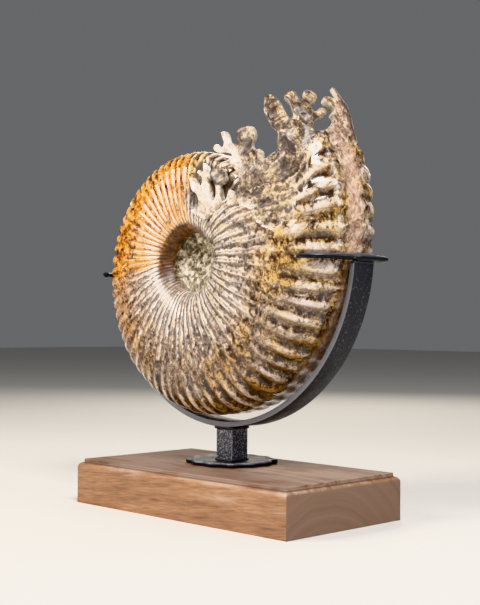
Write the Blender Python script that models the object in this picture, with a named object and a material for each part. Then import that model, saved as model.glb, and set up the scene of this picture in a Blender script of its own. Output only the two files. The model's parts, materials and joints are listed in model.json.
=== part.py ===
"""A large polished Douvilleiceras ammonite, held upright by a forged steel cradle on a wooden block.

Metres, +Z up. The origin is the middle of the block's underside. X runs along the block,
and -Y is the side of the flank that the fossil shows. The shell's coiling axis is parallel to Y.
"""

import math

import bmesh
import bpy
import numpy as np
from mathutils import Matrix, Vector

OBJECT_NAME = "ammonite_on_stand"
MM = 0.001
CLEARANCE = 0.3 * MM

# Wooden block
BLOCK_LENGTH = 261 * MM
BLOCK_DEPTH = 143 * MM
BLOCK_HEIGHT = 40 * MM
MOULDING_RADIUS = 4.4 * MM
TOP_STEP = 3.2 * MM

# Foot plate: four points, and a notch halfway between each two
STAND_X = -12 * MM
STAND_Y = 11 * MM
PLATE_RADIUS = 38 * MM
PLATE_POINT = 3.2 * MM
PLATE_LOBE = 1.8 * MM
PLATE_NOTCH = 1.4 * MM
PLATE_THICKNESS = 4 * MM
PLATE_CHAMFER = 1.2 * MM
PLATE_OUTLINE_STEPS = 48
POINT_SPREAD_DEGREES = 8
NOTCH_SPREAD_DEGREES = 6

# Post: square bar
POST_SIDE = 20.7 * MM
POST_EDGE = 1.2 * MM

# Cradle band: a half ring of flat bar
RING_X = -13.9 * MM
RING_Z = 225.6 * MM
RING_INNER_RADIUS = 147.4 * MM
BAND_THICKNESS = 5 * MM
BAND_WIDTH = 25 * MM
BAND_STEPS = 40

# Claws: forged rods across the band's two ends
CLAW_ROD = 2.5 * MM
RIGHT_CLAW_Z = 219.5 * MM
LEFT_CLAW_Z = 212 * MM
CLAW_BOSS = 1.55
# Each claw's route over the ground in mm, from its front tip to its rear tip, with its relative thickness
RIGHT_CLAW_ROUTE = (
    (112, -42, 0.8), (124, -34, 1.0), (133, -19, 1.0), (136.5, -4, 1.1), (137.5, 4, CLAW_BOSS),
    (137.5, 18, CLAW_BOSS), (137.5, 27, 1.1), (136, 41, 1.0), (128, 50, 0.9), (118, 54, 0.7),
)
LEFT_CLAW_ROUTE = (
    (-147, -27.5, 1.2), (-154, -22, 1.0), (-160.5, -8, 1.0), (-162.5, 4, CLAW_BOSS),
    (-162.5, 18, CLAW_BOSS), (-160, 28, 1.0), (-152, 37, 1.0), (-143, 43, 0.8),
)

# Coiling: the radius grows by EXPANSION in each turn, and the angle grows towards the broken end
COIL_X = -38 * MM
COIL_Y = 5.5 * MM
COIL_Z = 225.7 * MM
RADIUS_AT_FULL_TURN = 172 * MM
EXPANSION = 2.15
END_ANGLE = math.radians(391)
INNER_TURNS = 2
HUB_REACH = 0.55
HUB_DEPTH = 0.5

# Section of the whorl, as fractions of the coil's radius
SECTION_MIDDLE = 0.6
SECTION_OUTWARD = 0.4
SECTION_INWARD = 0.4
SECTION_HALF_WIDTH = 0.287
SECTION_OUTER_POWER = 2.9
SECTION_INNER_POWER = 3.3
# Where the points of one row lie, in degrees round the section from the middle of the venter
OUTER_COLUMNS = (90, 69, 53, 40, 20)
COLUMN_IN_SEAM = 136

# Ribs
RIBS_PER_TURN = 64
ROWS_PER_TURN = 2 * RIBS_PER_TURN
RIB_DEPTH = 0.016
RIB_FADE_START = math.radians(62)
RIB_FADE_END = math.radians(140)
RIB_DEPTH_NEAR_HUB = 0.35

# Broken end: a rim as thick as the lobes round a shallow hollow
RIM_THICKNESS = 10 * MM
HOLLOW_DEPTH = 14 * MM
HOLLOW_LIFT = 9 * MM
HOLLOW_RIM_TURNS = range(96, -97, -16)
HOLLOW_FLOOR_TURNS = range(-60, 61, 20)
HOLLOW_FLOOR_WIDTH = 1.1
HOLLOW_START = math.radians(2)
HOLLOW_TAPER = 0.82
LOBE_MEAN_RADIUS = 0.85
LOBE_SLICE = 16 * MM

# Lobe outlines in mm: how far past the broken edge, and how far round from the middle of the venter
LOBE_NEAR_HUB = (
    (-8, 112), (11, 107), (30, 112), (41, 123), (33, 108), (50, 113), (70, 121),
    (60, 113), (66, 104), (57, 102), (46, 104), (23, 98), (-8, 94),
)
LOBE_MIDDLE = (
    (-8, 104), (39, 102), (47, 94), (44, 86), (36, 79), (27, 86), (18, 84), (11, 80), (4, 86), (-8, 80),
)
LOBE_OUTER = (
    (-8, 68), (5, 65), (15, 58), (28, 61), (37, 62), (48, 55), (46, 49), (31, 47), (23, 43), (34, 39),
    (41, 35), (40, 27), (32, 25), (34, 21), (40, 14), (38, 5), (26, 18), (22, 15), (24, 5),
    (17, 11), (12, 23), (3, 25), (-8, 22),
)
HORN = (
    (-8, 30), (2, 23), (8, 14), (24, -4), (40, -18), (55, -29), (47, -32), (31, -35), (15, -37), (-8, -40),
)
# Each lobe's outer and inner face, in mm under the whorl's outer face
LOBES = (
    ("near_hub", LOBE_NEAR_HUB, 2.5, 10.5),
    ("middle", LOBE_MIDDLE, 3.2, 9.8),
    ("outer", LOBE_OUTER, 2.6, 10.4),
)
HORN_DEPTHS = (3.3, 8.8)
# The same on the turn before, for the small branch that lies on its flank
BRANCH_ON_FLANK = (
    (14, 52), (34, 51), (50, 46), (66, 44), (55, 41), (56, 36), (58, 27),
    (51, 30), (49, 36), (41, 38), (12, 40),
)
BRANCH_DEPTHS = (-5, 4)
REAR_LOBE_LENGTH = 0.92


def clear_scene():
    for old in list(bpy.data.objects):
        bpy.data.objects.remove(old)


def new_collection(name):
    collection = bpy.data.collections.new(name)
    bpy.context.scene.collection.children.link(collection)
    return collection


def material(name, colour, roughness, metallic=0.0):
    made = bpy.data.materials.new(name)
    made.use_nodes = True
    shader = made.node_tree.nodes["Principled BSDF"]
    shader.inputs["Base Color"].default_value = (*colour, 1.0)
    shader.inputs["Roughness"].default_value = roughness
    shader.inputs["Metallic"].default_value = metallic
    return made


def polished_shell():
    return material("polished_fossil_shell", (0.42, 0.27, 0.14), 0.25)


def limed_wood():
    return material("limed_wood", (0.42, 0.27, 0.17), 0.6)


def forged_steel(piece, colour, roughness):
    """Blackened steel, a little brighter or duller from piece to piece."""
    return material(f"{piece}_steel", colour, roughness, 0.8)


def object_from(name, bm, finish, collection, smooth_below=35):
    """A named object at the world's origin from a bmesh, smooth except at edges sharper than the angle."""
    mesh = bpy.data.meshes.new(name)
    bm.to_mesh(mesh)
    bm.free()
    mesh.materials.append(finish)
    mesh.shade_smooth()
    mesh.set_sharp_from_angle(angle=math.radians(smooth_below))
    made = bpy.data.objects.new(name, mesh)
    collection.objects.link(made)
    return made


def face_outwards(bm):
    """Turns every face of a closed mesh outwards."""
    bmesh.ops.recalc_face_normals(bm, faces=bm.faces)
    if bm.calc_volume(signed=True) < 0:
        bmesh.ops.reverse_faces(bm, faces=bm.faces)


def as_cutter(made):
    made.hide_render = True
    made.display_type = "WIRE"
    return made


def bmesh_of_curve(curve):
    """The closed mesh of a curve's tube or plate, with its caps welded on."""
    holder = bpy.data.objects.new("curve", curve)
    bpy.context.scene.collection.objects.link(holder)
    graph = bpy.context.evaluated_depsgraph_get()
    mesh = bpy.data.meshes.new_from_object(holder.evaluated_get(graph))
    bpy.data.objects.remove(holder)
    bm = bmesh.new()
    bm.from_mesh(mesh)
    bpy.data.meshes.remove(mesh)
    bmesh.ops.remove_doubles(bm, verts=bm.verts, dist=0.01 * MM)
    return bm


# The whorl


def coil_radius(angle):
    return RADIUS_AT_FULL_TURN * EXPANSION ** (angle / (2 * math.pi) - 1)


def section_point(turn):
    """A point of the whorl's section as fractions of the coil's radius: outwards, and to the front.

    turn is 0 at the middle of the venter, a quarter turn at the widest place and grows towards the hub.
    """
    across, side = math.cos(turn), math.sin(turn)
    power = SECTION_OUTER_POWER if across > 0 else SECTION_INNER_POWER
    reach = SECTION_OUTWARD if across > 0 else SECTION_INWARD
    swell = (abs(across) ** power + abs(side) ** power) ** (-1 / power)
    return SECTION_MIDDLE + reach * swell * across, SECTION_HALF_WIDTH * swell * side


def seam_turns():
    """Where a whorl is covered by the next one, and where its own seam lies.

    The seam is the covering place of the turn before, so it is that place divided by the expansion.
    """
    low, high = math.radians(91), math.radians(135)
    for _ in range(40):
        covered = (low + high) / 2
        out, side = (value / EXPANSION for value in section_point(covered))
        inward = (SECTION_MIDDLE - out) / SECTION_INWARD
        sideways = side / SECTION_HALF_WIDTH
        outside = inward**SECTION_INNER_POWER + sideways**SECTION_INNER_POWER > 1
        low, high = (covered, high) if not outside else (low, covered)
    return covered, math.atan2(sideways, -inward)


COVERED_TURN, SEAM_TURN = seam_turns()
FRONT_COLUMNS = [SEAM_TURN, math.radians(COLUMN_IN_SEAM), COVERED_TURN]
FRONT_COLUMNS += [math.radians(turn) for turn in OUTER_COLUMNS]
COLUMNS = FRONT_COLUMNS + [0.0] + [-turn for turn in reversed(FRONT_COLUMNS)]
COVERED_COLUMN = 2
LAST_COLUMN = len(COLUMNS) - 1


def in_space(angle, out, side):
    """The point at this angle of the coil, this far from its axis and this far to the front."""
    return Vector((COIL_X + out * math.cos(angle), COIL_Y - side, COIL_Z + out * math.sin(angle)))


def rib_drop(row, turn):
    """How deep the groove between two ribs is here, as a fraction of the coil's radius."""
    if row % 2:
        return 0.0
    fade = min(max((RIB_FADE_END - abs(turn)) / (RIB_FADE_END - RIB_FADE_START), 0.0), 1.0)
    return RIB_DEPTH * (RIB_DEPTH_NEAR_HUB + (1 - RIB_DEPTH_NEAR_HUB) * fade)


def shell_point(row, column):
    """A point of the shell. Row 0 is the broken end, and the rows before it are negative."""
    if column == 0:
        return shell_point(row - ROWS_PER_TURN, COVERED_COLUMN)
    if column == LAST_COLUMN:
        return shell_point(row - ROWS_PER_TURN, LAST_COLUMN - COVERED_COLUMN)
    angle = END_ANGLE + 2 * math.pi * row / ROWS_PER_TURN
    turn = COLUMNS[column]
    out, side = section_point(turn)
    drop = rib_drop(row, turn)
    towards_middle = 1 - drop / math.hypot(out - SECTION_MIDDLE, side)
    radius = coil_radius(angle)
    out = SECTION_MIDDLE + (out - SECTION_MIDDLE) * towards_middle
    return in_space(angle, radius * out, radius * side * towards_middle)


def add_shell_strip(bm, first_row, rows, first_column, columns):
    """A strip of the shell: a flat grid whose points are laid on the whorl by their row and column."""
    grid = bmesh.ops.create_grid(bm, x_segments=rows, y_segments=columns, size=1)
    for point in grid["verts"]:
        row = first_row + round((point.co.x + 1) / 2 * rows)
        column = first_column + round((point.co.y + 1) / 2 * columns)
        point.co = shell_point(row, column)


def close_hubs(bm):
    """Closes the two small holes at the coil's start with shallow cones."""
    start = coil_radius(END_ANGLE) / EXPANSION**INNER_TURNS
    for front in (True, False):
        open_edges = [
            edge
            for edge in bm.edges
            if edge.is_boundary
            and all((p.co - Vector((COIL_X, p.co.y, COIL_Z))).length < start * HUB_REACH for p in edge.verts)
            and (edge.verts[0].co.y < COIL_Y) == front
        ]
        made = bmesh.ops.extrude_edge_only(bm, edges=open_edges)["geom"]
        tips = [item for item in made if isinstance(item, bmesh.types.BMVert)]
        depth = abs(tips[0].co.y - COIL_Y) * (-HUB_DEPTH if front else HUB_DEPTH)
        bmesh.ops.pointmerge(bm, verts=tips, merge_co=Vector((COIL_X, COIL_Y + depth, COIL_Z)))


def shell_body(finish, collection):
    bm = bmesh.new()
    add_shell_strip(bm, -ROWS_PER_TURN, ROWS_PER_TURN, 0, LAST_COLUMN)
    inner_rows = INNER_TURNS * ROWS_PER_TURN
    for first_column in (0, LAST_COLUMN - COVERED_COLUMN):
        add_shell_strip(bm, -ROWS_PER_TURN - inner_rows, inner_rows, first_column, COVERED_COLUMN)
    bmesh.ops.remove_doubles(bm, verts=bm.verts, dist=0.01 * MM)
    close_hubs(bm)
    bmesh.ops.holes_fill(bm, edges=[edge for edge in bm.edges if edge.is_boundary])
    bmesh.ops.triangulate(bm, faces=[face for face in bm.faces if len(face.verts) > 4])
    face_outwards(bm)
    return object_from("ammonite", bm, finish, collection, smooth_below=50)


# The lobes at the broken end


SECTION_TURNS = np.radians(np.linspace(-150, 150, 601))
SECTION_OUTLINE = np.array([section_point(turn) for turn in SECTION_TURNS])
ROUND_SECTION = np.concatenate(([0], np.cumsum(np.linalg.norm(np.diff(SECTION_OUTLINE, axis=0), axis=1))))
ROUND_SECTION -= np.interp(0, SECTION_TURNS, ROUND_SECTION)


def beside_shell(along, around, depth, turns_back=0):
    """The point this far past the broken edge, round from the venter and under the shell's outer face."""
    start = END_ANGLE - 2 * math.pi * turns_back
    angle = start + along / (LOBE_MEAN_RADIUS * coil_radius(start))
    radius = coil_radius(angle)
    turn = float(np.interp(around / radius, ROUND_SECTION, SECTION_TURNS))
    step = math.radians(0.5)
    before, here, after = (Vector(section_point(turn + shift)) for shift in (-step, 0, step))
    tangent = (after - before).normalized()
    inward = Vector((-tangent.y, tangent.x))
    place = here * radius + inward * depth
    return in_space(angle, place.x, place.y)


def lobe(name, outline, depths, finish, collection, turns_back=0, mirrored=False):
    """A flat plate with a soft outline, bent to follow the whorl and set under its outer face."""
    outer, inner = (depth * MM for depth in depths)
    length = REAR_LOBE_LENGTH if mirrored else 1.0
    curve = bpy.data.curves.new(name, "CURVE")
    curve.dimensions = "2D"
    curve.fill_mode = "BOTH"
    curve.extrude = (inner - outer) / 2
    curve.resolution_u = 2
    spline = curve.splines.new("BEZIER")
    spline.bezier_points.add(len(outline) - 1)
    spline.use_cyclic_u = True
    for point, (along, around) in zip(spline.bezier_points, outline):
        stretch = length if along > 0 else 1.0
        point.co = (along * stretch * MM, around * MM, 0)
        point.handle_left_type = "AUTO"
        point.handle_right_type = "AUTO"
    bm = bmesh_of_curve(curve)
    bmesh.ops.dissolve_limit(bm, angle_limit=math.radians(1), verts=bm.verts, edges=bm.edges)
    for axis in (0, 1):
        reach = [point.co[axis] for point in bm.verts]
        for k in range(math.ceil(min(reach) / LOBE_SLICE), math.floor(max(reach) / LOBE_SLICE) + 1):
            normal = Vector((1 - axis, axis, 0))
            bmesh.ops.bisect_plane(
                bm, geom=bm.verts[:] + bm.edges[:] + bm.faces[:], dist=0.05 * MM,
                plane_co=normal * k * LOBE_SLICE, plane_no=normal,
            )
    side = -1 if mirrored else 1
    for point in bm.verts:
        depth = outer if point.co.z > 0 else inner
        point.co = beside_shell(point.co.x, point.co.y * side, depth, turns_back)
    bmesh.ops.triangulate(bm, faces=bm.faces)
    face_outwards(bm)
    return object_from(name, bm, finish, collection)


def hollow_cutter(finish, collection):
    """The shallow hollow inside the rim of the broken end, swept a short way round the coil."""
    radius = coil_radius(END_ANGLE)
    rim = []
    for turn in HOLLOW_RIM_TURNS:
        out, side = section_point(math.radians(turn))
        reach = math.hypot(out - SECTION_MIDDLE, side)
        shrink = 1 - RIM_THICKNESS / (radius * reach)
        rim.append((radius * (SECTION_MIDDLE + (out - SECTION_MIDDLE) * shrink), radius * side * shrink))
    inner_radius = radius / EXPANSION
    floor = []
    for turn in HOLLOW_FLOOR_TURNS:
        out, side = section_point(math.radians(turn))
        floor.append((inner_radius * out + HOLLOW_LIFT, inner_radius * side * HOLLOW_FLOOR_WIDTH))
    bm = bmesh.new()
    start = END_ANGLE + HOLLOW_START
    ring = [bm.verts.new(in_space(start, out, side)) for out, side in rim + floor]
    face = bm.faces.new(ring)
    sweep = HOLLOW_DEPTH / (LOBE_MEAN_RADIUS * radius) + HOLLOW_START
    top = bmesh.ops.extrude_face_region(bm, geom=[face], use_keep_orig=True)["geom"]
    moved = [item for item in top if isinstance(item, bmesh.types.BMVert)]
    middle = Vector((COIL_X, COIL_Y, COIL_Z))
    bmesh.ops.rotate(bm, verts=moved, cent=middle, matrix=Matrix.Rotation(sweep, 3, "Y"))
    centre = sum((point.co for point in moved), Vector()) / len(moved)
    for point in moved:
        point.co = centre + (point.co - centre) * HOLLOW_TAPER
    bmesh.ops.triangulate(bm, faces=[side for side in bm.faces if len(side.verts) > 4])
    face_outwards(bm)
    return as_cutter(object_from("end_hollow", bm, finish, collection))


def ammonite(collection, cutters):
    finish = polished_shell()
    shell = shell_body(finish, collection)
    hollow = shell.modifiers.new("end hollow", "BOOLEAN")
    hollow.operation = "DIFFERENCE"
    hollow.solver = "MANIFOLD"
    hollow.object = hollow_cutter(finish, cutters)
    fronds = []
    for name, outline, *depths in LOBES:
        fronds.append(lobe(f"{name}_front", outline, depths, finish, cutters))
        fronds.append(lobe(f"{name}_rear", outline, depths, finish, cutters, mirrored=True))
    fronds.append(lobe("horn", HORN, HORN_DEPTHS, finish, cutters))
    fronds.append(lobe("branch", BRANCH_ON_FLANK, BRANCH_DEPTHS, finish, cutters, turns_back=1))
    for frond in fronds:
        union = shell.modifiers.new(f"join {frond.name}", "BOOLEAN")
        union.operation = "UNION"
        union.solver = "MANIFOLD"
        union.object = as_cutter(frond)
    return shell


# The stand


def bevel_edges(bm, edges, width, segments):
    bmesh.ops.bevel(
        bm, geom=edges, offset=width, offset_type="OFFSET", segments=segments, profile=0.5,
        affect="EDGES", material=-1, clamp_overlap=True,
    )


def wooden_base(collection):
    """The block: a quarter round runs round its top, and the top face stands a step above it."""
    body_height = BLOCK_HEIGHT - TOP_STEP
    bm = bmesh.new()
    bmesh.ops.create_cube(bm, size=1)
    bmesh.ops.scale(bm, verts=bm.verts, vec=(BLOCK_LENGTH, BLOCK_DEPTH, body_height))
    bmesh.ops.translate(bm, verts=bm.verts, vec=(0, 0, body_height / 2))
    rim = [edge for edge in bm.edges if all(point.co.z > body_height / 2 for point in edge.verts)]
    bevel_edges(bm, rim, MOULDING_RADIUS, 4)
    top = max(bm.faces, key=lambda face: face.calc_center_median().z)
    raised = bmesh.ops.extrude_face_region(bm, geom=[top])["geom"]
    points = [item for item in raised if isinstance(item, bmesh.types.BMVert)]
    bmesh.ops.translate(bm, verts=points, vec=(0, 0, TOP_STEP))
    bmesh.ops.delete(bm, geom=[top], context="FACES_ONLY")
    face_outwards(bm)
    return object_from("wooden_base", bm, limed_wood(), collection)


def plate_edge_radius(angle):
    """The plate's outline: points on the diagonals, rounded lobes beside them and a notch between lobes."""
    from_point = abs(math.degrees(angle) % 90 - 45)
    point = PLATE_POINT * math.exp(-((from_point / POINT_SPREAD_DEGREES) ** 2))
    notch = PLATE_NOTCH * math.exp(-(((45 - from_point) / NOTCH_SPREAD_DEGREES) ** 2))
    lobes = PLATE_LOBE * math.sin(math.radians(from_point * 4))
    return PLATE_RADIUS + point + lobes - notch


def foot_plate(collection):
    bm = bmesh.new()
    bmesh.ops.create_circle(bm, cap_ends=True, radius=1, segments=PLATE_OUTLINE_STEPS)
    for point in bm.verts:
        angle = math.atan2(point.co.y, point.co.x)
        radius = plate_edge_radius(angle)
        point.co = Vector((radius * math.cos(angle), radius * math.sin(angle), 0))
    raised = bmesh.ops.extrude_face_region(bm, geom=bm.faces[:], use_keep_orig=True)["geom"]
    points = [item for item in raised if isinstance(item, bmesh.types.BMVert)]
    bmesh.ops.translate(bm, verts=points, vec=(0, 0, PLATE_THICKNESS))
    top = [edge for edge in bm.edges if all(point.co.z > PLATE_THICKNESS / 2 for point in edge.verts)]
    bevel_edges(bm, top, PLATE_CHAMFER, 1)
    bmesh.ops.translate(bm, verts=bm.verts, vec=(STAND_X, STAND_Y, BLOCK_HEIGHT + CLEARANCE))
    face_outwards(bm)
    steel = forged_steel("foot_plate", (0.02, 0.02, 0.022), 0.32)
    return object_from("foot_plate", bm, steel, collection)


def post(collection):
    bottom = BLOCK_HEIGHT + PLATE_THICKNESS + 2 * CLEARANCE
    top = RING_Z - RING_INNER_RADIUS - BAND_THICKNESS - CLEARANCE
    bm = bmesh.new()
    bmesh.ops.create_cube(bm, size=1)
    bmesh.ops.scale(bm, verts=bm.verts, vec=(POST_SIDE, POST_SIDE, top - bottom))
    uprights = [edge for edge in bm.edges if abs(edge.verts[0].co.z - edge.verts[1].co.z) > CLEARANCE]
    bevel_edges(bm, uprights, POST_EDGE, 2)
    bmesh.ops.translate(bm, verts=bm.verts, vec=(STAND_X, STAND_Y, (top + bottom) / 2))
    return object_from("post", bm, forged_steel("post", (0.05, 0.05, 0.055), 0.5), collection)


def ring_angle(height):
    """The angle of the band at this height, measured up from the ring's level diameter."""
    return math.asin((height - RING_Z) / (RING_INNER_RADIUS + BAND_THICKNESS / 2))


def cradle_band(collection):
    """A rectangle of flat bar, swept round the lower half of the ring."""
    under_claw = CLAW_ROD * CLAW_BOSS + CLEARANCE
    right_end = ring_angle(RIGHT_CLAW_Z - under_claw)
    left_end = -math.pi - ring_angle(LEFT_CLAW_Z - under_claw)
    bm = bmesh.new()
    bmesh.ops.create_grid(bm, x_segments=1, y_segments=1, size=0.5)
    bmesh.ops.scale(bm, verts=bm.verts, vec=(BAND_THICKNESS, BAND_WIDTH, 1))
    middle = RING_INNER_RADIUS + BAND_THICKNESS / 2
    bmesh.ops.translate(bm, verts=bm.verts, vec=(RING_X + middle, STAND_Y, RING_Z))
    centre = Vector((RING_X, STAND_Y, RING_Z))
    bmesh.ops.rotate(bm, verts=bm.verts, cent=centre, matrix=Matrix.Rotation(-right_end, 3, "Y"))
    bmesh.ops.spin(
        bm, geom=bm.verts[:] + bm.edges[:] + bm.faces[:], cent=centre, axis=(0, 1, 0),
        angle=right_end - left_end, steps=BAND_STEPS, use_duplicate=False,
    )
    face_outwards(bm)
    steel = forged_steel("cradle_band", (0.04, 0.04, 0.043), 0.45)
    return object_from("cradle_band", bm, steel, collection)


def claw(name, route, height, collection):
    """A forged rod: thin and round at its tips, and spread into a flat boss where it crosses the band."""
    curve = bpy.data.curves.new(name, "CURVE")
    curve.dimensions = "3D"
    curve.bevel_depth = CLAW_ROD
    curve.bevel_resolution = 1
    curve.resolution_u = 2
    curve.use_fill_caps = True
    spline = curve.splines.new("BEZIER")
    spline.bezier_points.add(len(route) - 1)
    for point, (x, y, size) in zip(spline.bezier_points, route):
        point.co = (x * MM, y * MM, height)
        point.radius = size
        point.handle_left_type = "AUTO"
        point.handle_right_type = "AUTO"
    bm = bmesh_of_curve(curve)
    face_outwards(bm)
    steel = forged_steel(name, (0.03, 0.032, 0.038), 0.35)
    return object_from(name, bm, steel, collection, smooth_below=60)


def stand(collection):
    wooden_base(collection)
    foot_plate(collection)
    post(collection)
    cradle_band(collection)
    claw("right_claw", RIGHT_CLAW_ROUTE, RIGHT_CLAW_Z, collection)
    claw("left_claw", LEFT_CLAW_ROUTE, LEFT_CLAW_Z, collection)


def main():
    clear_scene()
    collection = new_collection(OBJECT_NAME)
    cutters = new_collection("cutters")
    ammonite(collection, cutters)
    stand(collection)


main()
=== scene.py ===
# %% [markdown]
# # A polished ammonite on its steel and wood stand
#
# The object is a large ribbed fossil, ground and polished until it shines, held upright by a
# half ring of blackened steel on a block of limed wood. Its solid parts are already modelled,
# and this script dresses them: it loads them, builds the shell again with all its ribs and
# tubercles, and gives each surface a material made of nodes. Everything is in metres.

# %% Load the solid parts and keep their box
import json
import math

import bmesh
import bpy
import numpy as np
from mathutils import Matrix, Vector, noise

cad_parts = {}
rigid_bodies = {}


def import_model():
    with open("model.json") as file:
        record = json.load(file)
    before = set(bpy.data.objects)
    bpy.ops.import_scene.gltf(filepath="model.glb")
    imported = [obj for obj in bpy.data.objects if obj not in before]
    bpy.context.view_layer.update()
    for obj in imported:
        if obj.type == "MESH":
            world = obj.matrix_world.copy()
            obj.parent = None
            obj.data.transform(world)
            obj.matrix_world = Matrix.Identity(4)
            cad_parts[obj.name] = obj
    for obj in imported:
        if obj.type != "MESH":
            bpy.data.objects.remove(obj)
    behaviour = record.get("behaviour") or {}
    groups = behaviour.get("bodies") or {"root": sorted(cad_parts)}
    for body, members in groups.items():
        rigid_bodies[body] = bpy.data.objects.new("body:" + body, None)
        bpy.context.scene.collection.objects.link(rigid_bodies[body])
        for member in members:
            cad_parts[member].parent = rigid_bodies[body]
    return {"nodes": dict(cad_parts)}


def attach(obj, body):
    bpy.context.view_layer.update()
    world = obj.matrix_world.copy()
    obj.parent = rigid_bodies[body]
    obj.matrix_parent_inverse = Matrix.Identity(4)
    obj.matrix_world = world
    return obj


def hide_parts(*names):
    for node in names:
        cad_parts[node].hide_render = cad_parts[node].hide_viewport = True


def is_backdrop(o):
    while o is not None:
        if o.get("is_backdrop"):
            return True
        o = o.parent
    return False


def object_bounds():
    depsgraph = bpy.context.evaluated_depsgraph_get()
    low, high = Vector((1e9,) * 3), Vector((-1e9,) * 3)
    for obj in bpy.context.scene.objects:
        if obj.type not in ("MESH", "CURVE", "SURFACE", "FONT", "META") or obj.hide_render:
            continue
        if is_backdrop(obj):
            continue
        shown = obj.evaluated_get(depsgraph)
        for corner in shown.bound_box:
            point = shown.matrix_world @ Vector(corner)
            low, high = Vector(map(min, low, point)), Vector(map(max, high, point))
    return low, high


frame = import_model()
MM = 0.001
solid_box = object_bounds()
print("nodes:", sorted(frame["nodes"]))
print("box of the solids:", [[round(value, 4) for value in corner] for corner in solid_box])

# %% [markdown]
# ## Camera
#
# The picture was taken from the block's near corner with a long lens, almost level with the
# middle of the object and tilted up by about one degree. A Blender camera looks along its own
# -Z axis, so its matrix is built from three directions: right, up and back. The lens is given
# in millimetres for a sensor 36 mm long, and the long side of the picture is 605 pixels.

# %% The camera, from its place, its two angles and its roll
CAMERA_PLACE = Vector((711.2, -706.9, 163.1)) * MM
CAMERA_AZIMUTH = math.radians(44.867)
CAMERA_ELEVATION = math.radians(-1.202)
CAMERA_ROLL = math.radians(0.493)
FOCAL_PIXELS = 1130.03
LONG_SIDE_PIXELS = 605

camera_data = bpy.data.cameras.new("photo_camera")
camera_data.sensor_width = 36.0
camera_data.lens = FOCAL_PIXELS * camera_data.sensor_width / LONG_SIDE_PIXELS
camera_data.clip_end = 20.0
back = Vector((
    math.sin(CAMERA_AZIMUTH) * math.cos(CAMERA_ELEVATION),
    -math.cos(CAMERA_AZIMUTH) * math.cos(CAMERA_ELEVATION),
    math.sin(CAMERA_ELEVATION),
))
level_right = Vector((math.cos(CAMERA_AZIMUTH), math.sin(CAMERA_AZIMUTH), 0.0))
level_up = back.cross(level_right)
right = level_right * math.cos(CAMERA_ROLL) + level_up * math.sin(CAMERA_ROLL)
up = back.cross(right)
camera = bpy.data.objects.new("photo_camera", camera_data)
camera.matrix_world = Matrix.Translation(CAMERA_PLACE) @ Matrix((right, up, back)).transposed().to_4x4()
bpy.context.scene.collection.objects.link(camera)
bpy.context.scene.camera = camera
print("lens: %.2f mm" % camera_data.lens)

# %% [markdown]
# ## Floor and light
#
# A plain pale floor shows the object without distracting from it. Polished stone is seen by
# what it reflects, so the lights matter: a large soft light high on the left gives the shell
# its broad gloss, a narrow one at the right draws white glints on the rib ends, and a weak pale
# sky fills the shadows.

# %% A helper for objects, and the floor
def colour(code):
    """A colour as people write it, such as 8A6E50, turned into the linear values that light adds up in."""
    parts = [int(code[place:place + 2], 16) / 255 for place in (0, 2, 4)]
    return (*(part / 12.92 if part <= 0.04045 else ((part + 0.055) / 1.055) ** 2.4 for part in parts), 1.0)


def object_of(name, bm, smooth_below=None):
    """Turns a bmesh into an object at the origin, smooth, with edges sharper than the angle kept sharp."""
    mesh = bpy.data.meshes.new(name)
    bm.to_mesh(mesh)
    bm.free()
    mesh.shade_smooth()
    if smooth_below is not None:
        mesh.set_sharp_from_angle(angle=math.radians(smooth_below))
    made = bpy.data.objects.new(name, mesh)
    bpy.context.scene.collection.objects.link(made)
    return made


FLOOR_SIDE = 12.0
floor_bm = bmesh.new()
bmesh.ops.create_grid(floor_bm, x_segments=1, y_segments=1, size=FLOOR_SIDE / 2)
floor = object_of("floor", floor_bm)
floor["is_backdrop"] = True
print("floor side: %.0f m" % FLOOR_SIDE)


# %% Node helper, the floor's paint, the sky and the lamps
def add(tree, kind, inputs=None, stops=None, **settings):
    """Adds a node with its settings and links.

    A socket is given by its name or number, and takes a plain value, another node, which means
    its first output in use, or one output of it. stops are the (place, colour code) pairs of a ramp.
    """
    made = tree.nodes.new("ShaderNode" + kind)
    for name, value in settings.items():
        setattr(made, name, value)
    if stops:
        steps = made.color_ramp.elements
        steps.remove(steps[1])
        steps[0].position, steps[0].color = stops[0][0], colour(stops[0][1])
        for place, code in stops[1:]:
            steps.new(place).color = colour(code)
    for name, value in (inputs or {}).items():
        if isinstance(value, bpy.types.Node):
            value = next(socket for socket in value.outputs if socket.enabled)
        if isinstance(value, bpy.types.NodeSocket):
            tree.links.new(value, made.inputs[name])
        else:
            made.inputs[name].default_value = value
    return made


def new_material(name):
    """An empty material and its node tree."""
    made = bpy.data.materials.new(name)
    made.use_nodes = True
    made.node_tree.nodes.clear()
    return made, made.node_tree


floor_paint, tree = new_material("matt_pale_backdrop_paint")
shader = add(tree, "BsdfPrincipled", {"Base Color": colour("D9D6D1"), "Roughness": 0.9})
add(tree, "OutputMaterial", {"Surface": shader})
floor.data.materials.append(floor_paint)

world = bpy.data.worlds.new("pale_studio")
world.use_nodes = True
world.node_tree.nodes["Background"].inputs["Color"].default_value = colour("D5D7DA")
world.node_tree.nodes["Background"].inputs["Strength"].default_value = 0.26
bpy.context.scene.world = world
bpy.context.scene.view_settings.view_transform = "Khronos PBR Neutral"

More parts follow.
